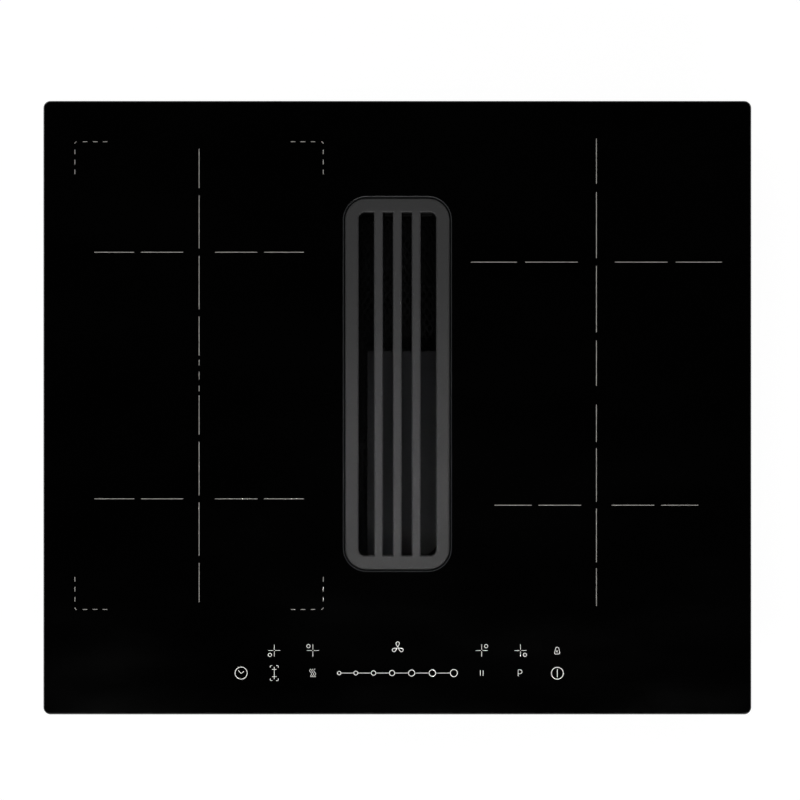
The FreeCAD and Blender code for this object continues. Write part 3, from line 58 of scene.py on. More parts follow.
def add(tree, kind, sockets=None, **settings):
    """One shader node with its settings, and its sockets given a value or a link."""
    node = tree.nodes.new("ShaderNode" + kind)
    for name, value in settings.items():
        setattr(node, name, value)
    for name, value in (sockets or {}).items():
        if isinstance(value, bpy.types.NodeSocket):
            tree.links.new(value, node.inputs[name])
        else:
            node.inputs[name].default_value = value
    return node


def surface(name, colour, roughness, metallic=0.0):
    """A new material, with its node tree, its shader and the piece's own coordinates."""
    material = bpy.data.materials.new(name)
    material.use_nodes = True
    tree = material.node_tree
    shader = tree.nodes["Principled BSDF"]
    shader.inputs["Base Color"].default_value = linear(colour)
    shader.inputs["Roughness"].default_value = roughness
    shader.inputs["Metallic"].default_value = metallic
    return material, tree, shader, add(tree, "TexCoord").outputs["Object"]


# the span of a pattern between its first colour and its second
RAMP = (0.3, 0.7)


def lay(tree, shader, pattern, colours, gloss, depth=0.0):
    """Lets one pattern drive a shader's colour and roughness, and its height in metres."""
    tone = add(tree, "ValToRGB", {"Fac": pattern})
    for end, position, colour in zip(tone.color_ramp.elements, RAMP, colours):
        end.position = position
        end.color = linear(colour)
    tree.links.new(tone.outputs["Color"], shader.inputs["Base Color"])
    span = {"Value": pattern, "From Min": RAMP[0], "From Max": RAMP[1]}
    rough = add(tree, "MapRange", {**span, "To Min": gloss[0], "To Max": gloss[1]})
    tree.links.new(rough.outputs["Result"], shader.inputs["Roughness"])
    if depth:
        bump = add(tree, "Bump", {"Height": pattern, "Distance": depth})
        tree.links.new(bump.outputs["Normal"], shader.inputs["Normal"])


def only(*pieces):
    """Selects these objects alone, the first of them active."""
    bpy.ops.object.select_all(action="DESELECT")
    for piece in pieces:
        piece.select_set(True)
    bpy.context.view_layer.objects.active = pieces[0]


SMOOTH_BELOW = math.radians(32)


def fit(piece, name, material, body, stands_for=()):
    """Names and finishes a piece, and hangs it on its body."""
    piece.name = piece.data.name = name
    piece.data.materials.clear()
    piece.data.materials.append(material)
    only(piece)
    bpy.ops.object.transform_apply(location=True, rotation=True, scale=True)
    bpy.ops.object.shade_smooth_by_angle(angle=SMOOTH_BELOW)
    even = piece.modifiers.new("flat faces stay flat", "WEIGHTED_NORMAL")
    even.keep_sharp = True
    bpy.ops.object.modifier_apply(modifier=even.name)
    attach(piece, body)
    if stands_for:
        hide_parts(*stands_for)
    return piece


def shown(name, data):
    """A new object in the scene for a mesh, a curve, a lamp or a camera."""
    thing = bpy.data.objects.new(name, data)
    bpy.context.scene.collection.objects.link(thing)
    return thing


# corners of the CAD mesh that are one, and faces that are flat together
WELD = 0.005
FLAT_BELOW = math.radians(0.6)


def merged(node):
    """A copy of a CAD node with its triangles merged to whole faces."""
    piece = shown(node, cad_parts[node].data.copy())
    only(piece)
    bpy.ops.object.mode_set(mode="EDIT")
    bpy.ops.mesh.select_all(action="SELECT")
    bpy.ops.mesh.remove_doubles(threshold=WELD * MM)
    bpy.ops.mesh.dissolve_limited(angle_limit=FLAT_BELOW)
    bpy.ops.object.mode_set(mode="OBJECT")
    return piece


def eased(piece, width, segments=2, angle=34):
    """Breaks the edges that turn by more than an angle in degrees, by a radius in millimetres."""
    only(piece)
    edge = piece.modifiers.new("edge", "BEVEL")
    edge.width = width * MM
    edge.segments = segments
    edge.limit_method = "ANGLE"
    edge.angle_limit = math.radians(angle)
    bpy.ops.object.modifier_apply(modifier=edge.name)
    return piece


def softened(node, name, width, material, body, slot, **edge):
    """A CAD node's own shape with its edges broken, finished and put in the node's place."""
    fit(eased(merged(node), width, **edge), name, material, body, [node])


def pick(piece, test):
    """Selects the faces whose centre in millimetres and normal pass a test, in edit mode."""
    bpy.ops.mesh.select_mode(type="FACE")
    bpy.ops.mesh.select_all(action="DESELECT")
    mesh = bmesh.from_edit_mesh(piece.data)
    for face in mesh.faces:
        face.select_set(bool(test(face.calc_center_median() / MM, face.normal)))
    bmesh.update_edit_mesh(piece.data)


def sized(x, y, z=1.0):
    """The primitive just added, scaled by sides in millimetres and open in edit mode."""
    piece = bpy.context.object
    piece.scale = (x * MM, y * MM, z * MM)
    bpy.ops.object.transform_apply(scale=True)
    bpy.ops.object.mode_set(mode="EDIT")
    return piece


def twin(piece, matrix):
    """A copy with its own mesh, set elsewhere."""
    other = piece.copy()
    other.data = piece.data.copy()
    other.data.transform(matrix)
    bpy.context.scene.collection.objects.link(other)
    return other


def joined(pieces):
    """Several objects as one."""
    only(*pieces)
    bpy.ops.object.join()
    return bpy.context.view_layer.objects.active


# galvanised sheet: frozen zinc crystals some 3 mm across, each a shade lighter or duller than the next
zinc_sheet, tree, shader, place = surface("galvanised_sheet_steel", "#a9adaf", 0.42, 1.0)
crystals = add(tree, "TexVoronoi", {"Vector": place, "Scale": 1 / (3 * MM), "Randomness": 1.0})
flower = add(tree, "SeparateColor", {"Color": crystals.outputs["Color"]})
lay(tree, shader, flower.outputs["Red"], ("#a7abad", "#b1b4b6"), (0.39, 0.45))
softened("base_tray", "sheet_tray", 0.3, zinc_sheet, "hob", "zinc_sheet", angle=60)

BEAD_LENGTH = 150.0
BEAD_WIDTH = 9.0
BEAD_RISE = 1.6
# a bead's crown as shares of its foot
BEAD_CROWN = (0.96, 0.5, 1.0)
FLOOR_UNDERSIDE = -50.0
# the floor's beads: how far from the middle, and where along y on each side
FLOOR_BEAD_X = 167.0
FLOOR_BEADS = ((-1, (-20.0, 50.0, 120.0, 190.0)), (1, (130.0, 200.0)))
# the beads of the front and the back wall: where along x
WALL_Y = 240.0
WALL_BEAD_Z = -26.0
WALL_BEADS = ((-1, (-175.0, 0.0, 175.0)), (1, (-10.0, 165.0)))
bpy.ops.mesh.primitive_cube_add(size=1)
bead = sized(BEAD_LENGTH, BEAD_WIDTH, BEAD_RISE)
pick(bead, lambda c, n: n.z < -0.9)
bpy.ops.transform.resize(value=BEAD_CROWN)
bpy.ops.object.mode_set(mode="OBJECT")
eased(bead, 1.1, segments=3)
beads = []
for side, places in FLOOR_BEADS:
    for y in places:
        spot = Matrix.Translation((side * FLOOR_BEAD_X * MM, y * MM, FLOOR_UNDERSIDE * MM))
        beads.append(twin(bead, spot))
for side, places in WALL_BEADS:
    for x in places:
        spot = Matrix.Translation((x * MM, side * WALL_Y * MM, WALL_BEAD_Z * MM))
        beads.append(twin(bead, spot @ Matrix.Rotation(side * math.pi / 2, 4, "X")))
bpy.data.objects.remove(bead)
fit(joined(beads), "pressed_beads", zinc_sheet, "hob")

# Deck posts and board spacers
# Turned zinc-plated posts carry the coil decks, and nylon spacers keep the boards off the tray's floor.
# Both are screwed through the floor from below.


def dress(material, *names):
    """Gives CAD nodes that keep their own shape a better material."""
    for name in names:
        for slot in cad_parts[name].material_slots:
            slot.material = material


# zinc plating: a bluish bright coat over turned steel, with the lathe's rings as faint bands
plated, tree, shader, place = surface("zinc_plated_steel", "#b4b8bc", 0.3, 1.0)
rings = {"Vector": place, "Scale": 1 / (14 * MM), "Distortion": 1.5}
turning = add(tree, "TexWave", rings, bands_direction="Z")
lay(tree, shader, turning.outputs["Fac"], ("#a5aaaf", "#c2c5c8"), (0.24, 0.4), 0.01 * MM)
dress(plated, "deck_posts")

# natural nylon: milky white with slight flow marks from the gate, semi-gloss
nylon, tree, shader, place = surface("natural_nylon", "#d9d6cc", 0.45)
flow = add(tree, "TexNoise", {"Vector": place, "Scale": 1 / (6 * MM), "Detail": 3.0, "Distortion": 0.8})
lay(tree, shader, flow.outputs["Fac"], ("#cfccc1", "#e2dfd6"), (0.4, 0.52), 0.03 * MM)
dress(nylon, "board_spacers", "temperature_sensors", "terminal_block")

# Power boards and what is soldered to them
# Glass-fibre boards with the half-bridge inverters: extruded heat sinks on the switches, film
# capacitors, and toroid chokes wound with enamelled wire.

# solder mask over etched copper: green lacquer, lighter where a copper area lies under it
board, tree, shader, place = surface("solder_mask_board", "#12442a", 0.3)
squares = {"Vector": place, "Scale": 1 / (7 * MM), "Randomness": 0.7}
copper = add(tree, "TexVoronoi", squares, distance="CHEBYCHEV")
lay(tree, shader, copper.outputs["Distance"], ("#1c5e38", "#0e3521"), (0.25, 0.4), 0.04 * MM)
dress(board, "power_board_left", "power_board_right", "control_board")

# extruded aluminium: the die leaves long fine lines along the profile
extruded, tree, shader, place = surface("extruded_aluminium", "#c3c5c7", 0.36, 1.0)
along = add(tree, "Mapping", {"Vector": place, "Scale": (1.0, 0.02, 1.0)})
die_lines = add(tree, "TexNoise", {"Vector": along.outputs["Vector"], "Scale": 1 / (1.2 * MM), "Detail": 2.0})
lay(tree, shader, die_lines.outputs["Fac"], ("#b2b5b7", "#d0d2d3"), (0.28, 0.46), 0.02 * MM)
dress(extruded, "heatsink_left", "heatsink_right")

# film capacitor: a moulded box cast full of blue epoxy, slightly uneven where the resin set
epoxy, tree, shader, place = surface("epoxy_capacitor_box", "#27466f", 0.28)
resin = add(tree, "TexNoise", {"Vector": place, "Scale": 1 / (9 * MM), "Detail": 2.0, "Distortion": 1.2})
lay(tree, shader, resin.outputs["Fac"], ("#223e64", "#2d4f7c"), (0.2, 0.36), 0.06 * MM)
dress(epoxy, "power_capacitors")

# enamelled copper wire laid turn on turn: bright bands some 6 mm apart, with the gaps between them painted
# dark as shade
magnet_wire, tree, shader, place = surface("enamelled_copper_wire", "#a8592c", 0.35, 1.0)
winding = {"Vector": place, "Scale": 1 / (12.6 * MM), "Distortion": 0.3}
turns = add(tree, "TexWave", winding, bands_direction="DIAGONAL")
# painted shade: the darker end of the ramp lies in the gaps between the turns
lay(tree, shader, turns.outputs["Fac"], ("#5c2c14", "#c07040"), (0.5, 0.28), 0.4 * MM)
dress(magnet_wire, "line_chokes")

# Cooling fans
# Two flat axial fans screwed to the tray's floor over the intake slots: moulded frames with struts,
# and a hub with swept blades on the motor's pin.

# glass-filled PBT: black, faintly greyed by fibres that lie along the flow
pbt, tree, shader, place = surface("black_pbt_moulding", "#1a1b1c", 0.5)
stretched = add(tree, "Mapping", {"Vector": place, "Scale": (1.0, 0.3, 1.0)})
lines = {"Vector": stretched.outputs["Vector"], "Scale": 1 / (1.5 * MM), "Detail": 4.0}
fibres = add(tree, "TexNoise", lines)
lay(tree, shader, fibres.outputs["Fac"], ("#151617", "#212224"), (0.42, 0.6), 0.05 * MM)
dress(pbt, "fan_frame_left", "fan_frame_right", "fan_rotor_left", "fan_rotor_right")

# Coil decks, ferrites, formers and windings
# Each pair of coils lies on a pressed aluminium deck: ferrite bars gather the field, a white former
# holds the flat Litz winding, and a mica sheet insulates it from the hot glass.

# mill-finish aluminium sheet: rolling lines across the deck
rolled, tree, shader, place = surface("rolled_aluminium", "#c6c8c9", 0.4, 1.0)
across = add(tree, "Mapping", {"Vector": place, "Scale": (0.02, 1.0, 1.0)})
lines = {"Vector": across.outputs["Vector"], "Scale": 1 / (1.6 * MM), "Detail": 2.0}
mill_lines = add(tree, "TexNoise", lines)
lay(tree, shader, mill_lines.outputs["Fac"], ("#b7babb", "#d2d4d5"), (0.32, 0.5), 0.015 * MM)
dress(rolled, "coil_deck_left", "coil_deck_right")

# sintered ferrite: charcoal ceramic with a dusty, pitted skin
sintered, tree, shader, place = surface("sintered_ferrite", "#3c3d40", 0.75)
pits = add(tree, "TexVoronoi", {"Vector": place, "Scale": 1 / (1.8 * MM)})
lay(tree, shader, pits.outputs["Distance"], ("#2f3033", "#484a4d"), (0.85, 0.65), 0.1 * MM)
dress(sintered, "ferrite_bars")

# glass-filled polyester former: off-white, dull, with a fine moulded grain
polyester, tree, shader, place = surface("white_polyester_moulding", "#d2d0c8", 0.6)
grain = add(tree, "TexNoise", {"Vector": place, "Scale": 1 / (2 * MM), "Detail": 4.0})
lay(tree, shader, grain.outputs["Fac"], ("#c7c5bc", "#dcdad2"), (0.52, 0.7), 0.05 * MM)
coils = ("rear_left", "front_left", "rear_right", "front_right")
dress(polyester, "control_carrier", *(f"coil_former_{name}" for name in coils))

# Litz wire: bundles of fine lacquered strands wound in a flat spiral, one turn every 8 mm, painted darker
# between the turns as shade
for name in coils:
    litz, tree, shader, place = surface(f"litz_copper_{name}", "#b06a3c", 0.42, 1.0)
    low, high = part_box(f"coil_winding_{name}")
    middle = [-(a + b) / 2 for a, b in zip(low, high)]
    centred = add(tree, "Mapping", {"Vector": place, "Location": middle})
    wound = {"Vector": centred.outputs["Vector"], "Scale": 1 / (25 * MM), "Distortion": 0.4, "Detail": 2.0}
    spiral = add(tree, "TexWave", wound, wave_type="RINGS", rings_direction="Z")
    # painted shade: the darker end of the ramp lies between the turns of the spiral
    lay(tree, shader, spiral.outputs["Fac"], ("#6b3a1c", "#c98a58"), (0.55, 0.34), 0.8 * MM)
    dress(litz, f"coil_winding_{name}")

# mica paper: pale tan flakes pressed in silicone resin, each with a faint glint
mica, tree, shader, place = surface("mica_sheet", "#b9ad94", 0.5)
flakes = add(tree, "TexVoronoi", {"Vector": place, "Scale": 1 / (3 * MM), "Randomness": 1.0})
flake = add(tree, "SeparateColor", {"Color": flakes.outputs["Color"]})
lay(tree, shader, flake.outputs["Green"], ("#a3977f", "#cdc2aa"), (0.35, 0.62), 0.03 * MM)
dress(mica, "mica_sheets")

# Touch control
# A moulded carrier clipped under the front of the glass holds a board whose small springs press
# against the glass as touch electrodes, and the display modules that shine through it.

# spring steel wire: bright drawn metal with fine lengthwise streaks
bright_steel, tree, shader, place = surface("bright_spring_steel", "#b9bbbd", 0.26, 1.0)
drawn_out = add(tree, "Mapping", {"Vector": place, "Scale": (1.0, 1.0, 0.08)})
lines = {"Vector": drawn_out.outputs["Vector"], "Scale": 1 / (0.9 * MM), "Detail": 2.0}
streaks = add(tree, "TexNoise", lines)
lay(tree, shader, streaks.outputs["Fac"], ("#adb0b2", "#c3c5c6"), (0.24, 0.34))
dress(bright_steel, "touch_springs", "motor_shaft")

# display window: smoked acrylic over dark segments, almost black with a red-brown depth
smoked, tree, shader, place = surface("smoked_acrylic", "#1a0f0d", 0.12)
depths = add(tree, "TexNoise", {"Vector": place, "Scale": 1 / (5 * MM), "Detail": 2.0})
lay(tree, shader, depths.outputs["Fac"], ("#130b0a", "#221311"), (0.08, 0.18))
dress(smoked, "display_modules")

# Cable gland
# A polyamide gland nutted into the back wall, the way in to the terminal block. Its nut is hexagonal and
# its nose is round, with a clear bore.

# black polyamide: satin, with the scuffed sheen of tumbled small parts
polyamide, tree, shader, place = surface("black_polyamide", "#19191a", 0.42)
scuffs = add(tree, "TexNoise", {"Vector": place, "Scale": 1 / (1.6 * MM), "Detail": 5.0, "Roughness": 0.65})
lay(tree, shader, scuffs.outputs["Fac"], ("#141415", "#232324"), (0.34, 0.56), 0.03 * MM)
softened("cable_gland", "mains_gland", 0.4, polyamide, "hob", "black_moulding", segments=3, angle=25)

# Ceramic glass
# One plate of black glass ceramic, 4 mm thick, its top edge ground to a narrow bevel all round and at the
# air opening. It is bonded to the tray, and everything else hangs under it.

# black glass ceramic: deep black and mirror smooth, with the faint haze of wiping cloths in its gloss
glass_ceramic, tree, shader, place = surface("black_glass_ceramic", "#010101", 0.05)
shader.inputs["IOR"].default_value = 1.54
wipes = add(tree, "Mapping", {"Vector": place, "Scale": (0.35, 1.0, 1.0), "Rotation": (0.0, 0.0, 0.5)})
haze = add(tree, "TexNoise", {"Vector": wipes.outputs["Vector"], "Scale": 1 / (60 * MM), "Detail": 5.0})
lay(tree, shader, haze.outputs["Fac"], ("#010101", "#020202"), (0.03, 0.08))
# the grinding wheel leaves bevels and edges matt, so that they catch the light as a fine grey line
EDGE_GREY = "#303132"
EDGE_MATT = 0.35
# the upright share of the normal down to which a face is polished, and from which it is ground
POLISHED_SLOPE = 0.98
GROUND_SLOPE = 0.92
slope = add(tree, "SeparateXYZ", {"Vector": add(tree, "TexCoord").outputs["Normal"]})
upright = add(tree, "Math", {0: slope.outputs["Z"]}, operation="ABSOLUTE")
fade = {"Value": upright.outputs[0], "From Min": POLISHED_SLOPE, "From Max": GROUND_SLOPE}
ground = add(tree, "MapRange", fade)
polished = shader.inputs["Base Color"].links[0].from_socket
# a Mix node takes its two colours at sockets 6 and 7 and gives the mixed one at 2
blend = {0: ground.outputs["Result"], 6: polished, 7: linear(EDGE_GREY)}
tint = add(tree, "Mix", blend, data_type="RGBA")
tree.links.new(tint.outputs[2], shader.inputs["Base Color"])
smooth = shader.inputs["Roughness"].links[0].from_socket
blend = {0: ground.outputs["Result"], 1: EDGE_MATT, 2: smooth}
matt = add(tree, "Math", blend, operation="MULTIPLY_ADD")
tree.links.new(matt.outputs[0], shader.inputs["Roughness"])
softened("glass_top", "ceramic_plate", 0.25, glass_ceramic, "hob", "black_glass", segments=3, angle=30)

# closed-cell foam tape: charcoal, matt, with cut cells about 1.5 mm wide
foam, tree, shader, place = surface("closed_cell_foam", "#2b2c2d", 0.9)
cells = add(tree, "TexVoronoi", {"Vector": place, "Scale": 1 / (1.5 * MM)})
lay(tree, shader, cells.outputs["Distance"], ("#1f2021", "#37383a"), (0.95, 0.82), 0.2 * MM)
dress(foam, "worktop_seal")

# Zone marks
# Cross-hair dashes fired into the glass in grey enamel show where the pans go. Dashed corners frame
# the two left zones, which work as one.

GLASS_TOP = 6.0
PRINT_RISE = 0.05
DASH_WIDTH = 0.6
JOINED_ZONE = (-273.3, -171.0, -62.8, 225.4)
CORNER_RADIUS = 1.7
CORNER_DASHES = ((6.75, 10.5), (15.2, 19.2), (23.6, 27.5))
# each zone: its centre, then where its inner and outer dashes start and end along y and along x
LEFT_DASHES = (((3.0, 48.3), (54.3, 87.6)), ((13.5, 49.3), (55.0, 88.8)))
ZONES = (
    ((-168.0, 131.75), *LEFT_DASHES),
    ((-168.0, -77.25), *LEFT_DASHES),
    ((168.7, 123.35), ((3.3, 59.4), (66.5, 104.8)), ((15.8, 60.3), (67.2, 106.4))),
    ((168.7, -82.65), ((2.9, 48.4), (53.5, 85.4)), ((12.9, 49.1), (54.8, 86.4))),
)
LINK_MARK = (-168.0, 27.2)
LINK_DASHES = ((-13.4, -8.6), (-3.25, 3.25), (8.6, 13.4))


def push(x, y, z):
    """Extrudes what is selected by a step in millimetres."""
    bpy.ops.mesh.extrude_region_move(TRANSFORM_OT_translate={"value": (x * MM, y * MM, z * MM)})


def raised(height):
    """Extrudes a flat outline in edit mode to a solid of a height in millimetres, its normals outward."""
    bpy.ops.mesh.select_all(action="SELECT")
    push(0, 0, height)
    bpy.ops.mesh.select_all(action="SELECT")
    bpy.ops.mesh.normals_make_consistent(inside=False)
    bpy.ops.object.mode_set(mode="OBJECT")


bpy.ops.mesh.primitive_plane_add(size=1)
unit_dash = sized(1.0, DASH_WIDTH)
raised(PRINT_RISE)
marks = []


def dash(start, end):
    """One printed dash from point to point, in millimetres."""
    run = Vector(end) - Vector(start)
    middle = (Vector(end) + Vector(start)) / 2
    spot = Matrix.Translation((middle.x * MM, middle.y * MM, GLASS_TOP * MM))
    turn = Matrix.Rotation(math.atan2(run.y, run.x), 4, "Z")
    marks.append(twin(unit_dash, spot @ turn @ Matrix.Diagonal((run.length, 1, 1, 1))))


def drawn(points, width, closed=False):
    """One printed line of a given width through points, in millimetres."""
    curve = bpy.data.curves.new("printed_line", "CURVE")
    curve.dimensions = "3D"
    curve.bevel_depth = width / 2 * MM
    curve.bevel_resolution = 1
    curve.use_fill_caps = True
    spline = curve.splines.new("POLY")
    spline.points.add(len(points) - 1)
    for spot, (x, y) in zip(spline.points, points):
        spot.co = (x * MM, y * MM, 0, 1)
    spline.use_cyclic_u = closed
    line = shown("printed_line", curve)
    only(line)
    bpy.ops.object.convert(target="MESH")
    flat = Matrix.Diagonal((1, 1, 2 * PRINT_RISE / width, 1))
    line.data.transform(Matrix.Translation((0, 0, GLASS_TOP * MM)) @ flat)
    return line


def bow(centre, radius, start, end, steps=16):
    """Points along an arc, its angles in degrees."""
    angles = [math.radians(start + (end - start) * i / steps) for i in range(steps + 1)]
    return [(centre[0] + radius * math.cos(a), centre[1] + radius * math.sin(a)) for a in angles]


for (cx, cy), upright, level in ZONES:
    for side in (-1, 1):
        for near, far in upright:
            dash((cx, cy + side * near), (cx, cy + side * far))
        for near, far in level:
            dash((cx + side * near, cy), (cx + side * far, cy))
for low, high in LINK_DASHES:
    dash((LINK_MARK[0], LINK_MARK[1] + low), (LINK_MARK[0], LINK_MARK[1] + high))
left, front, right, back = JOINED_ZONE
for x, inward in ((left, 1), (right, -1)):
    for y, upward in ((front, 1), (back, -1)):
        for near, far in CORNER_DASHES:
            dash((x + inward * near, y), (x + inward * far, y))
            dash((x, y + upward * near), (x, y + upward * far))
        hub = (x + inward * CORNER_RADIUS, y + upward * CORNER_RADIUS)
        first = -90 * upward
        corner = bow(hub, CORNER_RADIUS, first, first - 90 * inward * upward, steps=6)
        marks.append(drawn(corner, DASH_WIDTH))
bpy.data.objects.remove(unit_dash)

# fired enamel: grey glass frit screened through a mesh, so its tone is faintly uneven along a line
grey_enamel, tree, shader, place = surface("grey_glass_enamel", "#9a9792", 0.4)
screen = add(tree, "TexNoise", {"Vector": place, "Scale": 1 / (4 * MM), "Detail": 3.0})
lay(tree, shader, screen.outputs["Fac"], ("#8c8985", "#a8a5a0"), (0.34, 0.48))
fit(joined(marks), "zone_marks", grey_enamel, "hob")

# Touch signs
# White enamel signs over the electrodes: zone choice, timer, bridge, keep-warm, a slider of growing
# rings, extractor, pause, boost, lock and the on/off sign.

LINE = 0.68
UPPER_ROW = -205.8
LOWER_ROW = -224.9
RING_SIDES = 32
signs = []


def stroke(centre, points, width=LINE, closed=False):
    """A printed line through points that are measured from a sign's centre."""
    signs.append(drawn([(centre[0] + x, centre[1] + y) for x, y in points], width, closed))


def ring(centre, radius, width=LINE):
    """A printed circle, measured at its outer edge."""
    last = 360 * (RING_SIDES - 1) / RING_SIDES
    stroke(centre, bow((0, 0), radius - width / 2, 0, last, RING_SIDES - 1), width, closed=True)


# timer: a clock face with two hands
CLOCK = (-132.4, LOWER_ROW)
CLOCK_RADIUS = 5.45
CLOCK_HANDS = ((-2.4, 2.3), (-0.15, -0.4), (2.35, 1.4))
ring(CLOCK, CLOCK_RADIUS)
stroke(CLOCK, CLOCK_HANDS)

# zone choice: a cross for the four zones, open at its centre, with a ring in the chosen quarter
ARM = (0.8, 5.15)
ARM_LEVEL = 0.38
ARM_UPRIGHT = 0.46
CHOSEN = (3.75, 3.7)
CHOSEN_RADIUS = 1.72
CHOSEN_LINE = 0.58
# where each cross is along x, and which quarter is chosen
CROSSES = ((-104.3, -1, -1), (-71.6, -1, 1), (71.5, 1, 1), (104.4, 1, -1))
for x, side, end in CROSSES:
    for way in (-1, 1):
        stroke((x, UPPER_ROW), [(way * reach, 0) for reach in ARM], ARM_LEVEL)
        stroke((x, UPPER_ROW), [(0, way * reach) for reach in ARM], ARM_UPRIGHT)
    ring((x + side * CHOSEN[0], UPPER_ROW + end * CHOSEN[1]), CHOSEN_RADIUS, CHOSEN_LINE)

# bridge: two zones as one, a double bar in corner brackets
BRIDGE = (-104.3, LOWER_ROW)
BRIDGE_LINE = 0.52
BRIDGE_STEM = 5.2
BRIDGE_BAR = (2.0, 3.05)
BRIDGE_CORNER = ((3.4, 4.6), (3.4, 5.9), (2.95, 6.35), (1.6, 6.35))
stroke(BRIDGE, ((0, -BRIDGE_STEM), (0, BRIDGE_STEM)), BRIDGE_LINE)
for end in (-1, 1):
    stroke(BRIDGE, [(side * BRIDGE_BAR[0], end * BRIDGE_BAR[1]) for side in (-1, 1)], BRIDGE_LINE)
    for side in (-1, 1):
        stroke(BRIDGE, [(side * x, end * y) for x, y in BRIDGE_CORNER], BRIDGE_LINE)

# keep warm: three waves of heat over a plate
WARM = (-71.45, LOWER_ROW)
WAVE_TOP = 3.6
WAVE_STEP = 0.61
WAVE_STEPS = 10
WAVE_SWAY = 0.9
WAVE_CREST = 1.6
WAVE_LENGTH = 5.4
WAVE_LINE = 0.42
WAVES_X = (-2.04, -0.28, 1.47)
PLATE_LINE = ((-2.4, -3.07), (2.4, -3.07))
for middle in WAVES_X:
    wave = []
    for i in range(WAVE_STEPS + 1):
        drop = i * WAVE_STEP
        sway = WAVE_SWAY * math.cos(2 * math.pi * (drop - WAVE_CREST) / WAVE_LENGTH)
        wave.append((middle - sway, WAVE_TOP - drop))
    stroke(WARM, wave, WAVE_LINE)
stroke(WARM, PLATE_LINE, WAVE_LINE)

# power slider: rings that grow to the right on a line between them
SLIDER_X = (-49.3, -35.2, -20.2, -4.5, 12.1, 29.7, 47.9)
SLIDER_RINGS = (1.8, 2.0, 2.25, 2.55, 2.95, 3.12, 3.35)
SLIDER_LINE = 0.52
for x, radius in zip(SLIDER_X, SLIDER_RINGS):
    ring((x, LOWER_ROW), radius)
for i in range(len(SLIDER_X) - 1):
    start = SLIDER_X[i] + SLIDER_RINGS[i] - LINE / 2
    end = SLIDER_X[i + 1] - SLIDER_RINGS[i + 1] + LINE / 2
    stroke((0, LOWER_ROW), ((start, 0), (end, 0)), SLIDER_LINE)

# extractor: a fan of three drop-shaped blades
FAN = (0.3, -203.55)
BLADE_STEPS = 24
BLADE_MIDDLE = 2.85
BLADE_HALF_LENGTH = 2.2
BLADE_HALF_WIDTH = 1.6
# the distance from the hub at which a blade has the width above
BLADE_FULL = 3.8
for turn in (90, 210, 330):
    out = Vector((math.cos(math.radians(turn)), math.sin(math.radians(turn))))
    aside = Vector((-out.y, out.x))
    blade = []
    for i in range(BLADE_STEPS):
        angle = 2 * math.pi * i / BLADE_STEPS
        reach = BLADE_MIDDLE - BLADE_HALF_LENGTH * math.cos(angle)
        swell = BLADE_HALF_WIDTH * math.sin(angle) * reach / BLADE_FULL
        blade.append(out * reach + aside * swell)
    stroke(FAN, blade, LINE, closed=True)

# pause: two upright bars
PAUSE_X = (70.35, 72.7)
PAUSE_HALF = 2.45
PAUSE_LINE = 0.56
for x in PAUSE_X:
    stroke((x, LOWER_ROW), ((0, -PAUSE_HALF), (0, PAUSE_HALF)), PAUSE_LINE)

# boost: the letter for power
BOOST = (102.4, LOWER_ROW)
BOOST_LINE = 0.58
BOOST_FOOT = -2.6
BOWL = (1.6, 1.1)
BOWL_RADIUS = 1.7
bowl = bow(BOWL, BOWL_RADIUS, 90, -90, steps=10)
stem = [(0, BOOST_FOOT), (0, BOWL[1] + BOWL_RADIUS)]
stroke(BOOST, stem + bowl + [(0, BOWL[1] - BOWL_RADIUS)], BOOST_LINE)

# lock: a bell-shaped padlock with a keyhole
LOCK = (135.46, -206.1)
LOCK_LINE = 0.56
CROWN_RISE = 1.6
CROWN_RADIUS = 1.45
FOOT = (1.25, -1.7)
FOOT_RADIUS = 1.0
KEYHOLE_LINE = 0.5
KEYHOLE_TOP = ((-0.55, 0.0), (0.55, 0.0))
KEYHOLE_STEM = ((0.0, 0.0), (0.0, -1.3))
crown = bow((0, CROWN_RISE), CROWN_RADIUS, 0, 180, steps=8)
left_foot = bow((-FOOT[0], FOOT[1]), FOOT_RADIUS, 180, 270, steps=4)
right_foot = bow(FOOT, FOOT_RADIUS, 270, 360, steps=4)
stroke(LOCK, crown + left_foot + right_foot, LOCK_LINE, closed=True)
stroke(LOCK, KEYHOLE_TOP, KEYHOLE_LINE)
stroke(LOCK, KEYHOLE_STEM, KEYHOLE_LINE)

# on and off: a bar in a ring
POWER = (135.6, -225.07)
POWER_RADIUS = 5.38
POWER_RING = 0.7
POWER_BAR = 0.66
POWER_HALF = 3.4
ring(POWER, POWER_RADIUS, POWER_RING)
stroke(POWER, ((0, -POWER_HALF), (0, POWER_HALF)), POWER_BAR)

# white enamel: the same frit in white, dense and clean so that it reads through spills
white_enamel, tree, shader, place = surface("white_glass_enamel", "#f2f1ee", 0.4)
screen = add(tree, "TexNoise", {"Vector": place, "Scale": 1 / (3 * MM), "Detail": 3.0})
lay(tree, shader, screen.outputs["Fac"], ("#ebeae7", "#f8f7f4"), (0.34, 0.48))
fit(joined(signs), "touch_signs", white_enamel, "hob")

# Inlet frame
# A heat-proof black moulding under the air opening. Its two ledges carry the grille and the filter,
# and its throat leads down through the tray into the suction box.

# spark-eroded PBT: a black moulding with an even fine grain that kills the shine, coloured darker than the
# black plastic itself as painted shade for the deep well it lines
grained_with_painted_shade, tree, shader, place = surface("grained_pbt_with_painted_shade", "#060606", 0.55)
shader.inputs["Specular IOR Level"].default_value = 0.2
spark = add(tree, "TexNoise", {"Vector": place, "Scale": 1 / (1.1 * MM), "Detail": 3.0})
lay(tree, shader, spark.outputs["Fac"], ("#040404", "#080808"), (0.5, 0.66), 0.06 * MM)
softened("inlet_frame", "opening_frame", 0.5, grained_with_painted_shade, "hob", "black_moulding")

# Suction box
# A deep polypropylene chamber screwed under the tray by its flange. Gussets stiffen its left side, and
# a window in its right side opens into the blower.

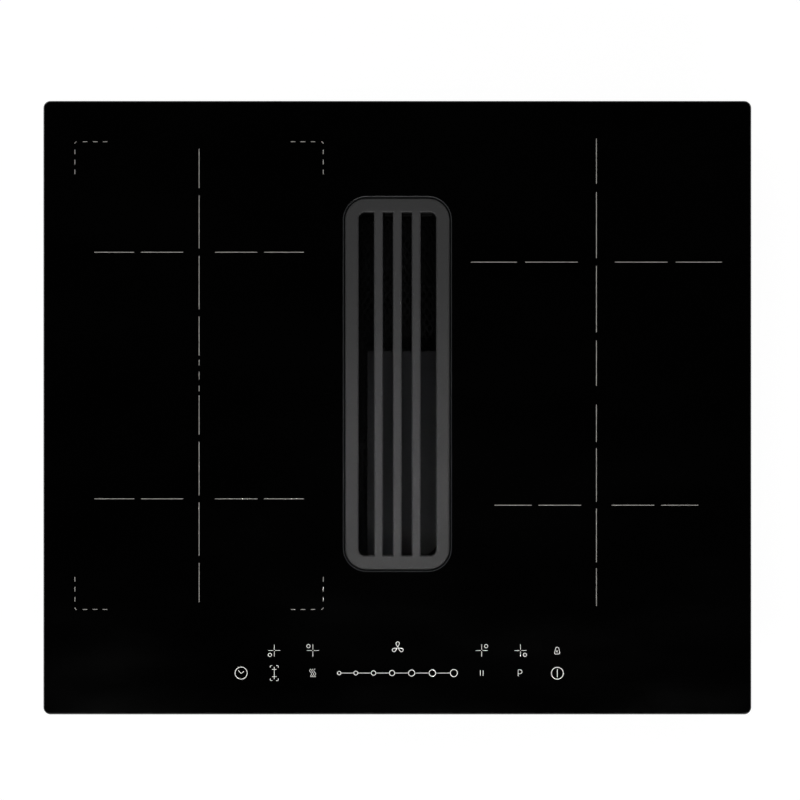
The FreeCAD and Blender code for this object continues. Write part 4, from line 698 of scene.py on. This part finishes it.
# polypropylene housing: black, slightly waxy, with flow lines down the draw of the mould
polypropylene, tree, shader, place = surface("black_polypropylene", "#1a1b1c", 0.48)
draw = add(tree, "Mapping", {"Vector": place, "Scale": (1.0, 1.0, 0.25)})
waxy = add(tree, "TexNoise", {"Vector": draw.outputs["Vector"], "Scale": 1 / (7 * MM), "Detail": 6.0})
lay(tree, shader, waxy.outputs["Fac"], ("#181919", "#1e1f20"), (0.44, 0.54), 0.02 * MM)
# shallow panels moulded into the two ends and the bottom stop the flat walls from drumming
CHAMBER_WIDTH = 100.0
CHAMBER_LENGTH = 326.0
CHAMBER_TOP = -52.5
CHAMBER_BOTTOM = -205.0
PANEL_BORDER = 14.0
PANEL_END_BORDER = 20.0
PANEL_RADIUS = 6.0
PANEL_DEPTH = 0.9


def carve(piece, cutter):
    """Takes one solid out of another and throws the cutter away."""
    only(piece)
    bite = piece.modifiers.new("bite", "BOOLEAN")
    bite.operation = "DIFFERENCE"
    bite.solver = "EXACT"
    bite.object = cutter
    bpy.ops.object.modifier_apply(modifier=bite.name)
    bpy.data.objects.remove(cutter)


low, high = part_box("suction_box")
middle_y = (low[1] + high[1]) / 2 / MM
middle_z = (CHAMBER_TOP + CHAMBER_BOTTOM) / 2
bottom_panel = (CHAMBER_WIDTH - 2 * PANEL_BORDER, CHAMBER_LENGTH - 2 * PANEL_BORDER)
end_panel = (CHAMBER_WIDTH - 2 * PANEL_END_BORDER, CHAMBER_TOP - CHAMBER_BOTTOM - 2 * PANEL_BORDER)
panels = [(0, (0, middle_y, CHAMBER_BOTTOM), bottom_panel)]
panels += [(90, (0, middle_y + way * CHAMBER_LENGTH / 2, middle_z), end_panel) for way in (-1, 1)]
chamber = eased(merged("suction_box"), 0.7)
for tip, spot, (wide, tall) in panels:
    bpy.ops.mesh.primitive_plane_add(size=1)
    cutter = sized(wide, tall)
    bpy.ops.mesh.select_all(action="SELECT")
    bpy.ops.mesh.bevel(offset=PANEL_RADIUS * MM, segments=6, affect="VERTICES")
    raised(2 * PANEL_DEPTH)
    aim = Matrix.Translation(Vector(spot) * MM) @ Matrix.Rotation(math.radians(tip), 4, "X")
    cutter.data.transform(aim @ Matrix.Translation((0, 0, -PANEL_DEPTH * MM)))
    carve(chamber, cutter)
fit(chamber, "suction_chamber", polypropylene, "hob", ["suction_box"])

# Blower
# A radial blower beside the chamber: a spiral housing with a clipped lid, a plenum over its eye, and
# a wheel of forward-curved blades on the shaft of the motor below.

softened("plenum", "inlet_plenum", 0.7, polypropylene, "hob", "black_moulding")
softened("blower_housing", "spiral_housing", 0.7, polypropylene, "hob", "black_moulding")
softened("blower_cover", "spiral_lid", 0.6, polypropylene, "hob", "black_moulding")

# snap clips that hold the lid. Each arc of the spiral: its centre from the blower's, its outer radius
# and the angles at which clips sit on it
BLOWER = (146.0, -10.0)
SPIRAL = ((-7.0, -7.0, 86.5, (110, 150)), (7.0, -7.0, 100.5, (195, 235)), (7.0, 7.0, 114.5, (285, 325)))
CLIP_THICK = 2.0
CLIP_WIDTH = 12.0
CLIP_HEIGHT = 14.0
CLIP_TOP = -87.5
HOOK_HEIGHT = 1.6
HOOK_REACH = 2.2
WINDOW_BORDER = 2.2
WINDOW_DEPTH = 0.7
bpy.ops.mesh.primitive_cube_add(size=1)
clip = sized(CLIP_THICK, CLIP_WIDTH, CLIP_HEIGHT)
pick(clip, lambda c, n: n.z > 0.9)
push(0, 0, HOOK_HEIGHT)
pick(clip, lambda c, n: n.x < -0.9 and c.z > CLIP_HEIGHT / 2)
push(-HOOK_REACH, 0, 0)
pick(clip, lambda c, n: n.x > 0.9 and c.z < CLIP_HEIGHT / 2)
bpy.ops.mesh.inset(thickness=WINDOW_BORDER * MM)
push(-WINDOW_DEPTH, 0, 0)
bpy.ops.object.mode_set(mode="OBJECT")
eased(clip, 0.3)
clips = []
for x, y, radius, angles in SPIRAL:
    for angle in angles:
        turn = Matrix.Rotation(math.radians(angle), 4, "Z")
        out = turn @ Vector((radius + CLIP_THICK / 2, 0, 0))
        spot = Vector((BLOWER[0] + x + out.x, BLOWER[1] + y + out.y, CLIP_TOP - CLIP_HEIGHT / 2))
        clips.append(twin(clip, Matrix.Translation(spot * MM) @ turn))
bpy.data.objects.remove(clip)
fit(joined(clips), "lid_clips", polypropylene, "hob")

# glass-filled polyamide wheel: mid grey, dull, with fibres showing at the blade edges
fan_nylon, tree, shader, place = surface("grey_glass_polyamide", "#6c6d70", 0.55)
fibres = add(tree, "TexNoise", {"Vector": place, "Scale": 1 / (1.8 * MM), "Detail": 5.0, "Roughness": 0.7})
lay(tree, shader, fibres.outputs["Fac"], ("#616265", "#7a7b7e"), (0.46, 0.66), 0.05 * MM)
dress(fan_nylon, "impeller")

# motor can: drawn steel, flanged at the top, ventilated by slots and domed over its lower bearing
CAN_SIDES = 72
FLANGE_RADIUS = 56.0
CAN_RADIUS = 46.0
CAN_TOP = -157.5
FLANGE_THICK = 2.5
# three bands down the can's side, the middle one with the vents, then a tapered shoulder
CAN_BANDS = (8.0, 20.0, 12.0)
SHOULDER = 2.5
SHOULDER_TAPER = 0.945
# the pressed dish in the can's end, and the bearing's boss in the dish
DISH_BORDER = 27.0
DISH_DEPTH = 2.0
BOSS_BORDER = 8.0
BOSS_RISE = 1.6
# vents: so many faces in every so many, the border round each and its depth
VENT_FACES = 3
VENT_PITCH = 6
VENT_BORDER = 1.0
VENT_DEPTH = 9.0
VENT_TOP = CAN_TOP - FLANGE_THICK - CAN_BANDS[0]
VENT_BOTTOM = VENT_TOP - CAN_BANDS[1]
seat = (BLOWER[0] * MM, BLOWER[1] * MM, CAN_TOP * MM)
bpy.ops.mesh.primitive_circle_add(
    vertices=CAN_SIDES, radius=FLANGE_RADIUS * MM, fill_type="NGON", location=seat
)
can = bpy.context.object
bpy.ops.object.transform_apply(location=True)
bpy.ops.object.mode_set(mode="EDIT")
bpy.ops.mesh.select_all(action="SELECT")
push(0, 0, -FLANGE_THICK)
bpy.ops.mesh.inset(thickness=(FLANGE_RADIUS - CAN_RADIUS) * MM)
for band in CAN_BANDS + (SHOULDER,):
    push(0, 0, -band)
bpy.ops.transform.resize(value=(SHOULDER_TAPER, SHOULDER_TAPER, 1.0))
bpy.ops.mesh.inset(thickness=DISH_BORDER * MM)
push(0, 0, DISH_DEPTH)
bpy.ops.mesh.inset(thickness=BOSS_BORDER * MM)
push(0, 0, -BOSS_RISE)


def vent(c, n):
    """Faces of the can's middle band, those that become vents round the axis."""
    angle = math.degrees(math.atan2(c.y - BLOWER[1], c.x - BLOWER[0]))
    step = round(angle / (360 / CAN_SIDES) - 0.5)
    return abs(n.z) < 0.1 and VENT_BOTTOM < c.z < VENT_TOP and step % VENT_PITCH < VENT_FACES


bpy.ops.mesh.select_all(action="SELECT")
bpy.ops.mesh.normals_make_consistent(inside=False)
pick(can, vent)
bpy.ops.mesh.inset(thickness=VENT_BORDER * MM)
bpy.ops.mesh.extrude_region_shrink_fatten(TRANSFORM_OT_shrink_fatten={"value": -VENT_DEPTH * MM})
bpy.ops.object.mode_set(mode="OBJECT")
eased(can, 0.6)
fit(can, "motor_can", zinc_sheet, "hob", ["blower_motor"])

# Duct outlet
# A moulded diffuser bolted to the spiral's exit. It widens to a flat rectangular collar that takes
# standard flat ducting behind the cabinet.

softened("duct_outlet", "duct_collar", 0.7, polypropylene, "hob", "black_moulding", angle=10)

# Drip tray
# A loose dish in the bottom of the chamber that catches what boils over. It is lifted out through the
# opening and goes in the dishwasher.

# charcoal polypropylene: smooth, faintly streaked by the mould's flow
dish_plastic, tree, shader, place = surface("charcoal_polypropylene", "#242526", 0.42)
streaks = add(tree, "TexNoise", {"Vector": place, "Scale": 1 / (12 * MM), "Detail": 5.0, "Distortion": 0.6})
lay(tree, shader, streaks.outputs["Fac"], ("#1f2021", "#2a2b2c"), (0.34, 0.5), 0.04 * MM)
softened("drip_tray", "drip_dish", 0.6, dish_plastic, "drip_tray", "grey_moulding")

# Filter cassette
# A black frame that hangs by its rim on the lower ledge. Layers of expanded aluminium lie on its foot,
# and a sloping plate over the front keeps spills off them.

# painted shade: the cassette frame takes the same darkened black as the opening frame
softened("filter_cassette", "cassette_frame", 0.4, grained_with_painted_shade, "filter", "black_moulding")

# expanded metal: one diamond is cut, drawn open and repeated in staggered rows, three layers deep
DIAMOND = (5.7, 9.8)
STRAND = 0.7
STRAND_DEPTH = 1.5
LAYER_Z = (-92.0, -89.2, -86.4)
low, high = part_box("filter_mesh")
width, length = (high[0] - low[0]) / MM, (high[1] - low[1]) / MM
columns, rows = int(width / DIAMOND[0]), int(length / DIAMOND[1])
middle = [(a + b) / 2 / MM for a, b in zip(low, high)]
layers = []
bpy.ops.mesh.primitive_circle_add(vertices=4, radius=1, fill_type="NGON")
diamond = sized(DIAMOND[0] / 2, DIAMOND[1] / 2)
bpy.ops.mesh.select_mode(type="FACE")
bpy.ops.mesh.select_all(action="SELECT")
bpy.ops.mesh.inset(thickness=STRAND * MM)
bpy.ops.mesh.delete(type="ONLY_FACE")
raised(STRAND_DEPTH)
for z in LAYER_Z:
    for stagger in (0, 1):
        counts = (columns - stagger, rows - stagger)
        start = [m - (n - 1) / 2 * d for m, n, d in zip(middle, counts, DIAMOND)]
        layer = twin(diamond, Matrix.Translation(Vector((*start, z)) * MM))
        only(layer)
        for count, step in zip(counts, ((DIAMOND[0], 0, 0), (0, DIAMOND[1], 0))):
            repeat = layer.modifiers.new("repeat", "ARRAY")
            repeat.count = count
            repeat.use_relative_offset = False
            repeat.use_constant_offset = True
            repeat.constant_offset_displace = [s * MM for s in step]
            bpy.ops.object.modifier_apply(modifier=repeat.name)
        layers.append(layer)
bpy.data.objects.remove(diamond)

# expanded aluminium coloured near black and dull as painted shade, for the deep well it lies in, in patches a
# shade greyer from the slitting
strand_metal, tree, shader, place = surface("aluminium_black_as_painted_shade", "#060606", 0.6)
shader.inputs["Specular IOR Level"].default_value = 0.1
painted_shade_patches = add(tree, "TexNoise", {"Vector": place, "Scale": 1 / (18 * MM), "Detail": 4.0})
# painted shade: the strands stay near black between these two tones
lay(tree, shader, painted_shade_patches.outputs["Fac"], ("#040404", "#080809"), (0.66, 0.52))
fit(joined(layers), "expanded_layers", strand_metal, "filter", ["filter_mesh"])

# satin coated plate: charcoal powder coat with a soft sheen and a faint orange peel
satin_coat, tree, shader, place = surface("satin_powder_coat", "#161617", 0.5)
shader.inputs["Specular IOR Level"].default_value = 0.12
peel = add(tree, "TexNoise", {"Vector": place, "Scale": 1 / (2.2 * MM), "Detail": 2.0})
lay(tree, shader, peel.outputs["Fac"], ("#141415", "#181819"), (0.46, 0.54), 0.03 * MM)
softened("drip_deflector", "spill_plate", 0.3, satin_coat, "filter", "dark_panel")

# Air grille
# A flat casting with three long bars that drops into the opening, flush with the glass, on silicone
# pads. It lifts out by hand so that the filter and the dish can follow.

# enamelled casting: dark grey satin over a fine cast grain; the bars are painted a shade paler than the
# border, a painted highlight for the light they catch
BARS_HALF_WIDTH = 26.0
BARS_HALF_LENGTH = 145.0
# the bars' share of the span at which the painted highlight fades, and the tone inside and outside it
FADE = (0.98, 1.04)
BARS_PAINTED_HIGHLIGHT_TONE = 0.37
BORDER_TONE = 0.17
GRAIN_TONE = 0.4
cast_enamel, tree, shader, place = surface("satin_enamelled_casting", "#2b2b2c", 0.46)
sand = add(tree, "TexNoise", {"Vector": place, "Scale": 1 / (1.4 * MM), "Detail": 4.0})
low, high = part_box("air_grille")
reach = (1 / (BARS_HALF_WIDTH * MM), 1 / (BARS_HALF_LENGTH * MM), 1.0)
centre = (0.0, -(low[1] + high[1]) / 2 * reach[1], 0.0)
shares = add(tree, "Mapping", {"Vector": place, "Scale": reach, "Location": centre})
outward = add(tree, "VectorMath", {0: shares.outputs["Vector"]}, operation="ABSOLUTE")
sides = add(tree, "SeparateXYZ", {"Vector": outward.outputs["Vector"]})
furthest = add(tree, "Math", {0: sides.outputs["X"], 1: sides.outputs["Y"]}, operation="MAXIMUM")
limits = {"From Min": FADE[0], "From Max": FADE[1], "To Min": BARS_PAINTED_HIGHLIGHT_TONE, "To Max": BORDER_TONE}
# painted highlight: inside the bars' span the tone is raised, so that the bars read paler than the border
painted_bar_highlight = add(tree, "MapRange", {"Value": furthest.outputs[0], **limits})
blend = {0: sand.outputs["Fac"], 1: GRAIN_TONE, 2: painted_bar_highlight.outputs["Result"]}
grain_and_painted_highlight = add(tree, "Math", blend, operation="MULTIPLY_ADD")
lay(tree, shader, grain_and_painted_highlight.outputs[0], ("#292929", "#343435"), (0.48, 0.42), 0.07 * MM)
softened("air_grille", "cast_grille", 0.5, cast_enamel, "grille", "grille_enamel", segments=3, angle=30)

# silicone: black, matt, with a bloom of fine dust
silicone, tree, shader, place = surface("black_silicone", "#161617", 0.8)
bloom = add(tree, "TexNoise", {"Vector": place, "Scale": 1 / (1.5 * MM), "Detail": 3.0})
lay(tree, shader, bloom.outputs["Fac"], ("#121213", "#1d1d1e"), (0.72, 0.88), 0.03 * MM)
dress(silicone, "grille_pads")

# Retaining springs and screws
# Bent steel strips on the tray's sides grip the cut-out in the worktop. Their screws, and those of the
# suction box and the motor, are pan heads with a cross recess.

SPRING_WIDTH = 16.0
SPRING_SHEET = 1.0
SPRING_BEND = 2.5
SPRING_X = 275.0
SPRING_Y = 150.0
SPRING_TOP = -11.0
SPRING_FLAT = 8.5
# the strip's two legs: how far each goes out from the wall and down
SPRING_LEGS = ((4.0, 8.5), (-4.0, 17.0))


def seams(piece, test):
    """Selects the edges whose middle in millimetres and direction pass a test, in edit mode."""
    bpy.ops.mesh.select_mode(type="EDGE")
    bpy.ops.mesh.select_all(action="DESELECT")
    mesh = bmesh.from_edit_mesh(piece.data)
    for edge in mesh.edges:
        start, end = (corner.co for corner in edge.verts)
        edge.select_set(bool(test((start + end) / 2 / MM, (end - start).normalized())))
    bmesh.update_edit_mesh(piece.data)


bpy.ops.mesh.primitive_plane_add(size=1)
strip = bpy.context.object
strip.scale = (SPRING_FLAT * MM, SPRING_WIDTH * MM, 1.0)
strip.rotation_euler = (0, math.pi / 2, 0)
strip.location = (0, 0, (SPRING_TOP - SPRING_FLAT / 2) * MM)
bpy.ops.object.transform_apply(location=True, rotation=True, scale=True)
bpy.ops.object.mode_set(mode="EDIT")
bends = [SPRING_TOP - SPRING_FLAT]
seams(strip, lambda m, d: abs(d.y) > 0.9 and m.z < bends[0] + 0.1)
for out, down in SPRING_LEGS:
    push(out, 0, -down)
    bends.append(bends[-1] - down)
seams(strip, lambda m, d: abs(d.y) > 0.9 and min(abs(m.z - bend) for bend in bends[:2]) < 0.1)
bpy.ops.mesh.bevel(offset=SPRING_BEND * MM, segments=6, affect="EDGES")
bpy.ops.object.mode_set(mode="OBJECT")
sheet = strip.modifiers.new("sheet", "SOLIDIFY")
sheet.thickness = SPRING_SHEET * MM
sheet.offset = 1.0
bpy.ops.object.modifier_apply(modifier=sheet.name)
eased(strip, 0.2, angle=60)
strips = []
for side, turn in ((1, 0.0), (-1, math.pi)):
    for y in (-SPRING_Y, SPRING_Y):
        spot = Matrix.Translation((side * SPRING_X * MM, y * MM, 0))
        strips.append(twin(strip, spot @ Matrix.Rotation(turn, 4, "Z")))
bpy.data.objects.remove(strip)
fit(joined(strips), "grip_springs", bright_steel, "hob", ["retaining_springs"])

HEAD_RADIUS = 3.7
HEAD_HEIGHT = 2.3
HEAD_DOME = 0.9
HEAD_RIM = HEAD_HEIGHT - HEAD_DOME
HEAD_SIDES = 28
# the recess: each slot's length, width and height about the head's top, narrowed towards its foot
RECESS = (3.8, 0.85, 2.4)
RECESS_FOOT = 0.45
bpy.ops.mesh.primitive_cylinder_add(vertices=HEAD_SIDES, radius=HEAD_RADIUS * MM, depth=HEAD_RIM * MM)
head = bpy.context.object
head.data.transform(Matrix.Translation((0, 0, HEAD_RIM / 2 * MM)))
bpy.ops.object.mode_set(mode="EDIT")
pick(head, lambda c, n: n.z > 0.9)
bpy.ops.mesh.inset(thickness=HEAD_DOME * MM, depth=HEAD_DOME * MM)
bpy.ops.object.mode_set(mode="OBJECT")
eased(head, 0.35, angle=20)
for turn in (0, 90):
    bpy.ops.mesh.primitive_cube_add(size=1)
    cutter = sized(*RECESS)
    pick(cutter, lambda c, n: n.z < -0.9)
    bpy.ops.transform.resize(value=(RECESS_FOOT, RECESS_FOOT, 1.0))
    bpy.ops.object.mode_set(mode="OBJECT")
    spot = Matrix.Translation((0, 0, HEAD_HEIGHT * MM))
    cutter.data.transform(spot @ Matrix.Rotation(math.radians(turn), 4, "Z"))
    carve(head, cutter)


def screws(node, name, aim):
    """A pan head at each loose solid of a CAD node, facing the way that aim turns it."""
    only(merged(node))
    bpy.ops.object.mode_set(mode="EDIT")
    bpy.ops.mesh.select_all(action="SELECT")
    bpy.ops.mesh.separate(type="LOOSE")
    bpy.ops.object.mode_set(mode="OBJECT")
    heads = []
    for part in list(bpy.context.selected_objects):
        spots = [v.co for v in part.data.vertices]
        low = Vector([min(s[i] for s in spots) for i in range(3)])
        high = Vector([max(s[i] for s in spots) for i in range(3)])
        heads.append(twin(head, aim(low, high)))
        bpy.data.objects.remove(part)
    fit(joined(heads), name, plated, "hob", [node])


def hanging(low, high):
    """Seated upwards against an underside."""
    middle = (low + high) / 2
    return Matrix.Translation((middle.x, middle.y, high.z)) @ Matrix.Rotation(math.pi, 4, "X")


def sideways(low, high):
    """Seated against a side wall."""
    middle = (low + high) / 2
    side = 1 if middle.x > 0 else -1
    seat = low.x if side > 0 else high.x
    return Matrix.Translation((seat, middle.y, middle.z)) @ Matrix.Rotation(side * math.pi / 2, 4, "Y")


screws("spring_screws", "spring_pan_heads", sideways)
screws("box_screws", "chamber_pan_heads", hanging)
screws("motor_screws", "motor_pan_heads", hanging)
bpy.data.objects.remove(head)

# Floor, light and camera
# A white studio sweep under the object, soft boxes over and beside it and a snoot that reaches into the
# opening. The ceiling is dark, so that the glass mirrors black. The camera hangs straight over the glass.

# the sweep's height in millimetres, and its side in metres
FLOOR_Z = -205.2
FLOOR_REACH = 40.0
FLOOR_GLOW = 1.09
# the share of the plain glow in what is seen of the floor; the rest takes light and keeps the shadow
FLOOR_SHARE = 0.85
bpy.ops.mesh.primitive_plane_add(size=FLOOR_REACH, location=(0, 0, FLOOR_Z * MM))
floor = bpy.context.object
floor.name = "studio_floor"
bpy.ops.object.transform_apply(location=True)
sweep, tree, paper, _ = surface("white_studio_paper", "#ffffff", 0.9)
paper.inputs["Specular IOR Level"].default_value = 0.0
glow = add(tree, "Emission", {"Color": linear("#ffffff"), "Strength": FLOOR_GLOW})
path = add(tree, "LightPath")
looks = {0: path.outputs["Is Camera Ray"], 1: path.outputs["Is Glossy Ray"]}
seen = add(tree, "Math", looks, operation="MAXIMUM")
looks = {0: seen.outputs[0], 1: path.outputs["Is Transmission Ray"]}
seen = add(tree, "Math", looks, operation="MAXIMUM")
share = add(tree, "Math", {0: seen.outputs[0], 1: FLOOR_SHARE}, operation="MULTIPLY")
mix = add(tree, "MixShader", {0: share.outputs[0], 1: paper.outputs[0], 2: glow.outputs[0]})
# the sweep is there from above alone, so that the underside can be looked at too
under = add(tree, "NewGeometry").outputs["Backfacing"]
clear = add(tree, "BsdfTransparent")
sided = add(tree, "MixShader", {0: under, 1: mix.outputs[0], 2: clear.outputs[0]})
tree.links.new(sided.outputs[0], tree.nodes["Material Output"].inputs["Surface"])
floor.data.materials.append(sweep)

# the sky is white at the horizon and dark overhead, by the upright share of a ray's direction
WHITE_BELOW = 0.06
DARK_ABOVE = 0.42
CEILING = (0.002, 0.002, 0.002, 1.0)
world = bpy.data.worlds.new("studio")
bpy.context.scene.world = world
world.use_nodes = True
tree = world.node_tree
sky = tree.nodes["Background"]
aim = add(tree, "SeparateXYZ", {"Vector": add(tree, "TexCoord").outputs["Generated"]})
height = add(tree, "ValToRGB", {"Fac": aim.outputs["Z"]})
horizon, ceiling = height.color_ramp.elements
horizon.position = WHITE_BELOW
horizon.color = linear("#ffffff")
ceiling.position = DARK_ABOVE
ceiling.color = CEILING
path = add(tree, "LightPath")
# the camera itself sees plain white behind the object
blend = {0: path.outputs["Is Camera Ray"], 6: height.outputs["Color"], 7: linear("#ffffff")}
behind = add(tree, "Mix", blend, data_type="RGBA")
tree.links.new(behind.outputs[2], sky.inputs["Color"])

# each lamp: place and the point it faces in metres, size in metres, power in watts, spread in degrees,
# and whether the glass may mirror it
LAMPS = (
    ("overhead_box", (0.0, 0.5, 2.15), (0.0, 0.0, 0.0), (1.6, 1.2), 15.5, 180.0, False),
    ("front_strip", (0.0, -0.65, 1.6), (0.0, 0.02, 0.0), (1.2, 0.3), 10.0, 180.0, True),
    ("left_box", (-1.5, 0.2, 0.7), (0.0, 0.0, -0.05), (0.6, 1.4), 7.0, 180.0, False),
    ("right_box", (1.5, 0.3, 0.6), (0.0, 0.0, -0.05), (0.6, 1.4), 5.0, 180.0, False),
    ("well_snoot", (0.0, 0.45, 1.6), (0.0, -0.08, -0.04), (0.06, 0.06), 0.05, 12.0, False),
)
for name, spot, target, (wide, tall), power, spread, mirrored in LAMPS:
    lamp = bpy.data.lights.new(name, "AREA")
    lamp.shape = "RECTANGLE"
    lamp.size = wide
    lamp.size_y = tall
    lamp.energy = power
    lamp.spread = math.radians(spread)
    stand = shown(name, lamp)
    stand.location = spot
    stand.rotation_euler = (Vector(target) - Vector(spot)).to_track_quat("-Z", "Y").to_euler()
    stand.visible_glossy = mirrored

VIEW_WIDTH = 678.0
VIEW_MIDDLE = (2.25, 6.5)
CAMERA_HEIGHT = 3.0
SENSOR = 36.0
lens = bpy.data.cameras.new("overhead")
lens.sensor_width = SENSOR
lens.lens = SENSOR * CAMERA_HEIGHT / (VIEW_WIDTH * MM)
camera = shown("overhead", lens)
camera.location = (VIEW_MIDDLE[0] * MM, VIEW_MIDDLE[1] * MM, CAMERA_HEIGHT + GLASS_TOP * MM)
bpy.context.scene.camera = camera
bpy.context.scene.view_settings.view_transform = "Standard"
